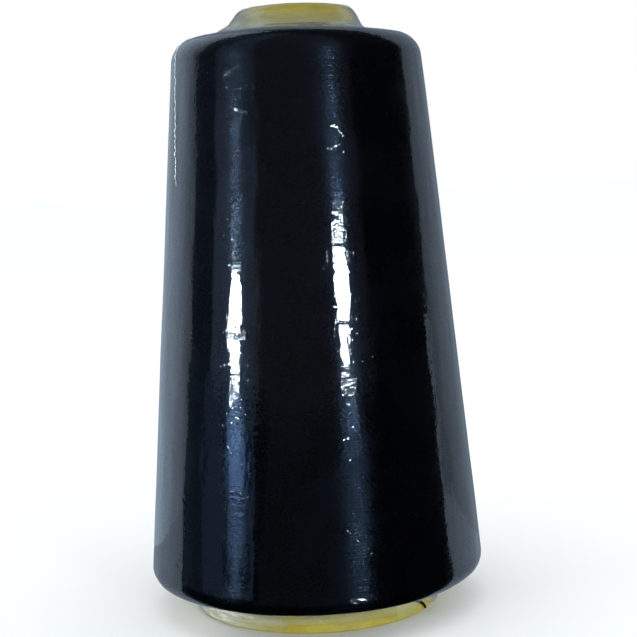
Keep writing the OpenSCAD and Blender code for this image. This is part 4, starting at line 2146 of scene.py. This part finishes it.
@dataclass
class Room:
    """The room: pale to the camera, dim to the film's mirror, and soft light elsewhere.

    The mirror sees a front and a left wall, a weak strip beyond the left one and a
    ceiling that brightens upward. Heights are sines of the angle above level.
    """

    front: float = 0.05
    left: float = 0.225
    left_high: float = 0.55
    strip: float = 0.035
    ceiling: float = 0.012
    soft: float = 1.14
    soft_tone: tuple = (0.95, 0.98, 1.0, 1.0)
    front_tone: tuple = (0.95, 0.95, 1.3, 1.0)
    left_tone: tuple = (0.68, 1.0, 1.5, 1.0)
    ceiling_rise: Pair = (0.15, 0.95)
    left_fade: Pair = (0.13, 0.22)
    front_window: Window = Window((-44.0, -36.0), (42.0, 54.0))
    left_window: Window = Window((-78.0, -74.0), (-44.0, -36.0))
    strip_window: Window = Window((-118.0, -106.0), (-78.0, -74.0))

    def mirrored(self, graph: Graph) -> bpy.types.Node:
        """What the film's mirror sees.

        Args:
            graph: The world's tree.

        Returns:
            The background.
        """
        way = graph.axes(graph.add("ShaderNodeTexCoord").outputs["Generated"])
        side = graph.math("ARCTAN2", way[0], graph.product(way[1], -1.0))
        side = graph.product(side, 180 / math.pi)
        left = self.left_window.share(graph, side)
        strip = self.strip_window.share(graph, side)
        level = graph.remap(way[2], *self.ceiling_rise, 0.0, self.ceiling)
        level = graph.weigh(self.front_window.share(graph, side), self.front, level)
        wall = graph.remap(way[2], *self.left_fade, self.left, self.left_high * self.left)
        level = graph.weigh(left, wall, level)
        level = graph.weigh(strip, self.strip, level)
        share = graph.math("ADD", left, strip, clamp=True)
        tone = graph.blend(share, self.front_tone, self.left_tone)
        return graph.add("ShaderNodeBackground", {"Color": tone, "Strength": level})

    def build(self) -> None:
        """Makes the world."""
        world = bpy.data.worlds.new("room")
        bpy.context.scene.world = world
        world.use_nodes = True
        world.node_tree.nodes.clear()
        graph = Graph(world.node_tree)
        dim = self.mirrored(graph)
        soft = {"Color": self.soft_tone, "Strength": self.soft}
        pale = graph.add("ShaderNodeBackground", {"Color": WHITE, "Strength": 1.0})
        ray = graph.add("ShaderNodeLightPath").outputs
        lit = graph.mix(ray["Is Glossy Ray"], graph.add("ShaderNodeBackground", soft), dim)
        both = graph.mix(ray["Is Camera Ray"], lit, pale)
        graph.add("ShaderNodeOutputWorld", {"Surface": both.outputs[0]})


@dataclass
class Studio:
    """Pale floor, soft room light, two lamp panels and the cards that the film mirrors.

    The level cards lie a little above the floor, each at a height of its own, and the
    sectors fan out from fan_from at the cone's front left.
    """

    floor_reach: float = 9.0
    floor_z: float = -0.00005
    floor_tone: tuple = (0.9, 0.9, 0.9, 1.0)
    card_reach: float = 8.9
    cone_front: Pair = (0.037, -0.03)
    dark_back: Pair = (2.8, 2.36)
    dim_z: float = 0.0004
    dark_z: float = 0.0008
    sector_z: float = 0.001
    glow_z: float = 0.0012
    sheet_y: float = 0.06
    sheet_start: float = -0.05
    fan_from: Pair = (-0.022, -0.038)
    fan_reach: Pair = (0.08, 8.0)
    glow_sides: Pair = (-66.0, -46.6)
    pale_glow: tuple = (0.62, 1.0, 1.8, 1.0)
    blue_glow: tuple = (0.5, 1.0, 2.1, 1.0)
    panels: "tuple[Panel, ...]" = (
        Panel("lamp left", -146.1, 0.08, 0.19, 0.12, 85.0),
        Panel("lamp right", -61.6, 0.151, 0.25, 0.16, 80.0),
        Panel("lamp right low", -61.7, 0.098, 0.148, 0.125, 74.0),
    )
    overhead: Lamp = Lamp("soft overhead", (-0.3, -0.4, 1.7), (0.0, 0.0, 0.08), (1.6, 1.6), 2.0)

    def build(self) -> None:
        """Makes the room, the floor, the lamps and the cards."""
        Room().build()
        self.build_floor()
        for lamp in (*(panel.lamp() for panel in self.panels), self.overhead):
            lamp.build()
        for card in self.cards():
            card.build()

    def cards(self) -> "list[Card]":
        """The sheets behind the cone and the cards that lie on the floor.

        Returns:
            The cards, from behind to the front.
        """
        beam = Beam(self.fan_from, -56.3, 9.5)
        front = self.sector((-34.0, 40.0), (0.04, 8.0), self.sector_z)
        glow = self.sector((-85.0, -42.0), self.fan_reach, self.sector_z)
        strip = self.sector((-106.0, -85.0), self.fan_reach, self.sector_z)
        near = self.sector(self.glow_sides, (0.1, 0.34), self.glow_z)
        far = self.sector(self.glow_sides, (0.46, 4.0), self.glow_z)
        return [
            Card("sheet left", self.upright((-0.34, -0.47), (0.001, 0.29)), 0.68, 0.27),
            Card("sheet left high", self.upright((-0.47, -0.52), (0.29, 0.45)), 0.68, 0.27),
            Card("sheet right", self.upright((0.31, 0.19), (0.001, 0.32)), 0.36, 0.17),
            Card("dim floor", level_square(self.card_reach, self.dim_z), 0.42, 0.42),
            Card("dark card in front", self.front_floor(), 0.0, 0.0),
            Card("soft front", front, 0.024, 0.024),
            Card("floor glow", glow, 0.12, 0.12, self.pale_glow),
            Card("floor strip", strip, 0.045, 0.045, self.pale_glow),
            Card("blue glow near", near, 0.1, 0.55, self.blue_glow, beam),
            Card("blue glow far", far, 0.85, 0.85, self.blue_glow, beam),
        ]

    def front_floor(self) -> list:
        """Corners of the level card that covers the floor in front of the cone.

        Returns:
            Its corners, in metres.
        """
        reach, (x, y), (left, right) = self.card_reach, self.cone_front, self.dark_back
        outer = [(-reach, left), (-reach, -reach), (reach, -reach), (reach, right)]
        return [(*corner, self.dark_z) for corner in (*outer, (x, y), (-x, y))]

    def upright(self, ends: Pair, heights: Pair) -> list:
        """Corners of a sheet that stands behind the cone and faces it.

        Args:
            ends: Where its lower and its upper edge end, along X.
            heights: Heights of those edges.

        Returns:
            Its corners, in metres.
        """
        start, y = self.sheet_start, self.sheet_y
        low, top = heights
        corners = [(start, y, low), (ends[0], y, low), (ends[1], y, top), (start, y, top)]
        return corners if ends[0] > start else list(reversed(corners))

    def sector(self, sides: Pair, reach: Pair, height: float) -> list:
        """Corners of a level card that fans out from the cone's front left.

        Args:
            sides: Directions of its edges, in degrees to the right of the front.
            reach: Distances of its near and far ends.
            height: Its height.

        Returns:
            Its corners, in metres.
        """
        (left, right), (near, far) = sides, reach
        corners = []
        for side, distance in ((right, near), (left, near), (left, far), (right, far)):
            angle = math.radians(side)
            x = self.fan_from[0] + distance * math.sin(angle)
            y = self.fan_from[1] - distance * math.cos(angle)
            corners.append((x, y, height))
        return corners

    def build_floor(self) -> None:
        """Makes the plain pale floor, which is clear when seen from below."""
        material, graph = new_material("pale floor")
        face = graph.add("ShaderNodeBsdfDiffuse", {"Color": self.floor_tone})
        graph.finish(graph.one_sided(face))
        lay_plane("floor", level_square(self.floor_reach, self.floor_z), material)


@dataclass(frozen=True)
class Camera:
    """The camera, in front of the cone and a little above its middle.

    distance and height are metres, pitch, yaw and roll radians, and lens and sensor
    millimetres.
    """

    distance: float = 0.3922
    height: float = 0.12374
    pitch: float = 0.1061
    yaw: float = 0.0082
    roll: float = -0.0417
    lens: float = 77.21
    sensor: float = 36.0
    nearest: float = 0.01
    farthest: float = 20.0

    def build(self) -> None:
        """Makes the camera and hands it to the scene."""
        ahead = math.cos(self.pitch)
        forward = Vector(
            (math.sin(self.yaw) * ahead, math.cos(self.yaw) * ahead, -math.sin(self.pitch))
        )
        level = Vector((math.cos(self.yaw), -math.sin(self.yaw), 0.0))
        above = level.cross(forward)
        right = math.cos(self.roll) * level + math.sin(self.roll) * above
        up = -math.sin(self.roll) * level + math.cos(self.roll) * above
        data = bpy.data.cameras.new("camera")
        data.lens, data.sensor_width = self.lens, self.sensor
        data.clip_start, data.clip_end = self.nearest, self.farthest
        camera = bpy.data.objects.new("camera", data)
        turn = Matrix((right, up, -forward)).transposed().to_4x4()
        camera.matrix_world = Matrix.Translation((0.0, -self.distance, self.height)) @ turn
        bpy.context.scene.collection.objects.link(camera)
        bpy.context.scene.camera = camera


# --------------------------------------------------------------------------------- main


def main() -> None:
    """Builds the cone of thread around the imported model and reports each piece."""
    logging.basicConfig(level=logging.INFO, format="%(name)s: %(message)s")
    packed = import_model()

    core = ConeCore()
    thread = ThreadPackage(core)
    core.dress(packed["nodes"]["cone_core"])

    body = thread.build(Yarn("thread body", lined=True).build())
    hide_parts("thread_package")

    strand = OuterWinding(thread).build(Yarn("wound thread").build())
    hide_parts("outer_winding")

    dull = Yarn("tail thread", shine=(0.02, 0.022, 0.03, 1.0), roughness=0.5).build()
    for ply in ThreadTail(core, thread).build(dull):
        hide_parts("thread_tail")

    sleeve = FilmSleeve(core, thread)
    film = sleeve.build(ClearFilm().build())
    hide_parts("film_wrap")
    sealed = ClearFilm("film seam", milk=(0.72, 0.8, 0.86, 1.0), least_milk=0.7, pimples=0.01)
    SleeveSeam(sleeve).build(sealed.build())

    Studio().build()
    Camera().build()
    bpy.context.scene.view_settings.view_transform = "Standard"


if __name__ == "__main__":
    main()
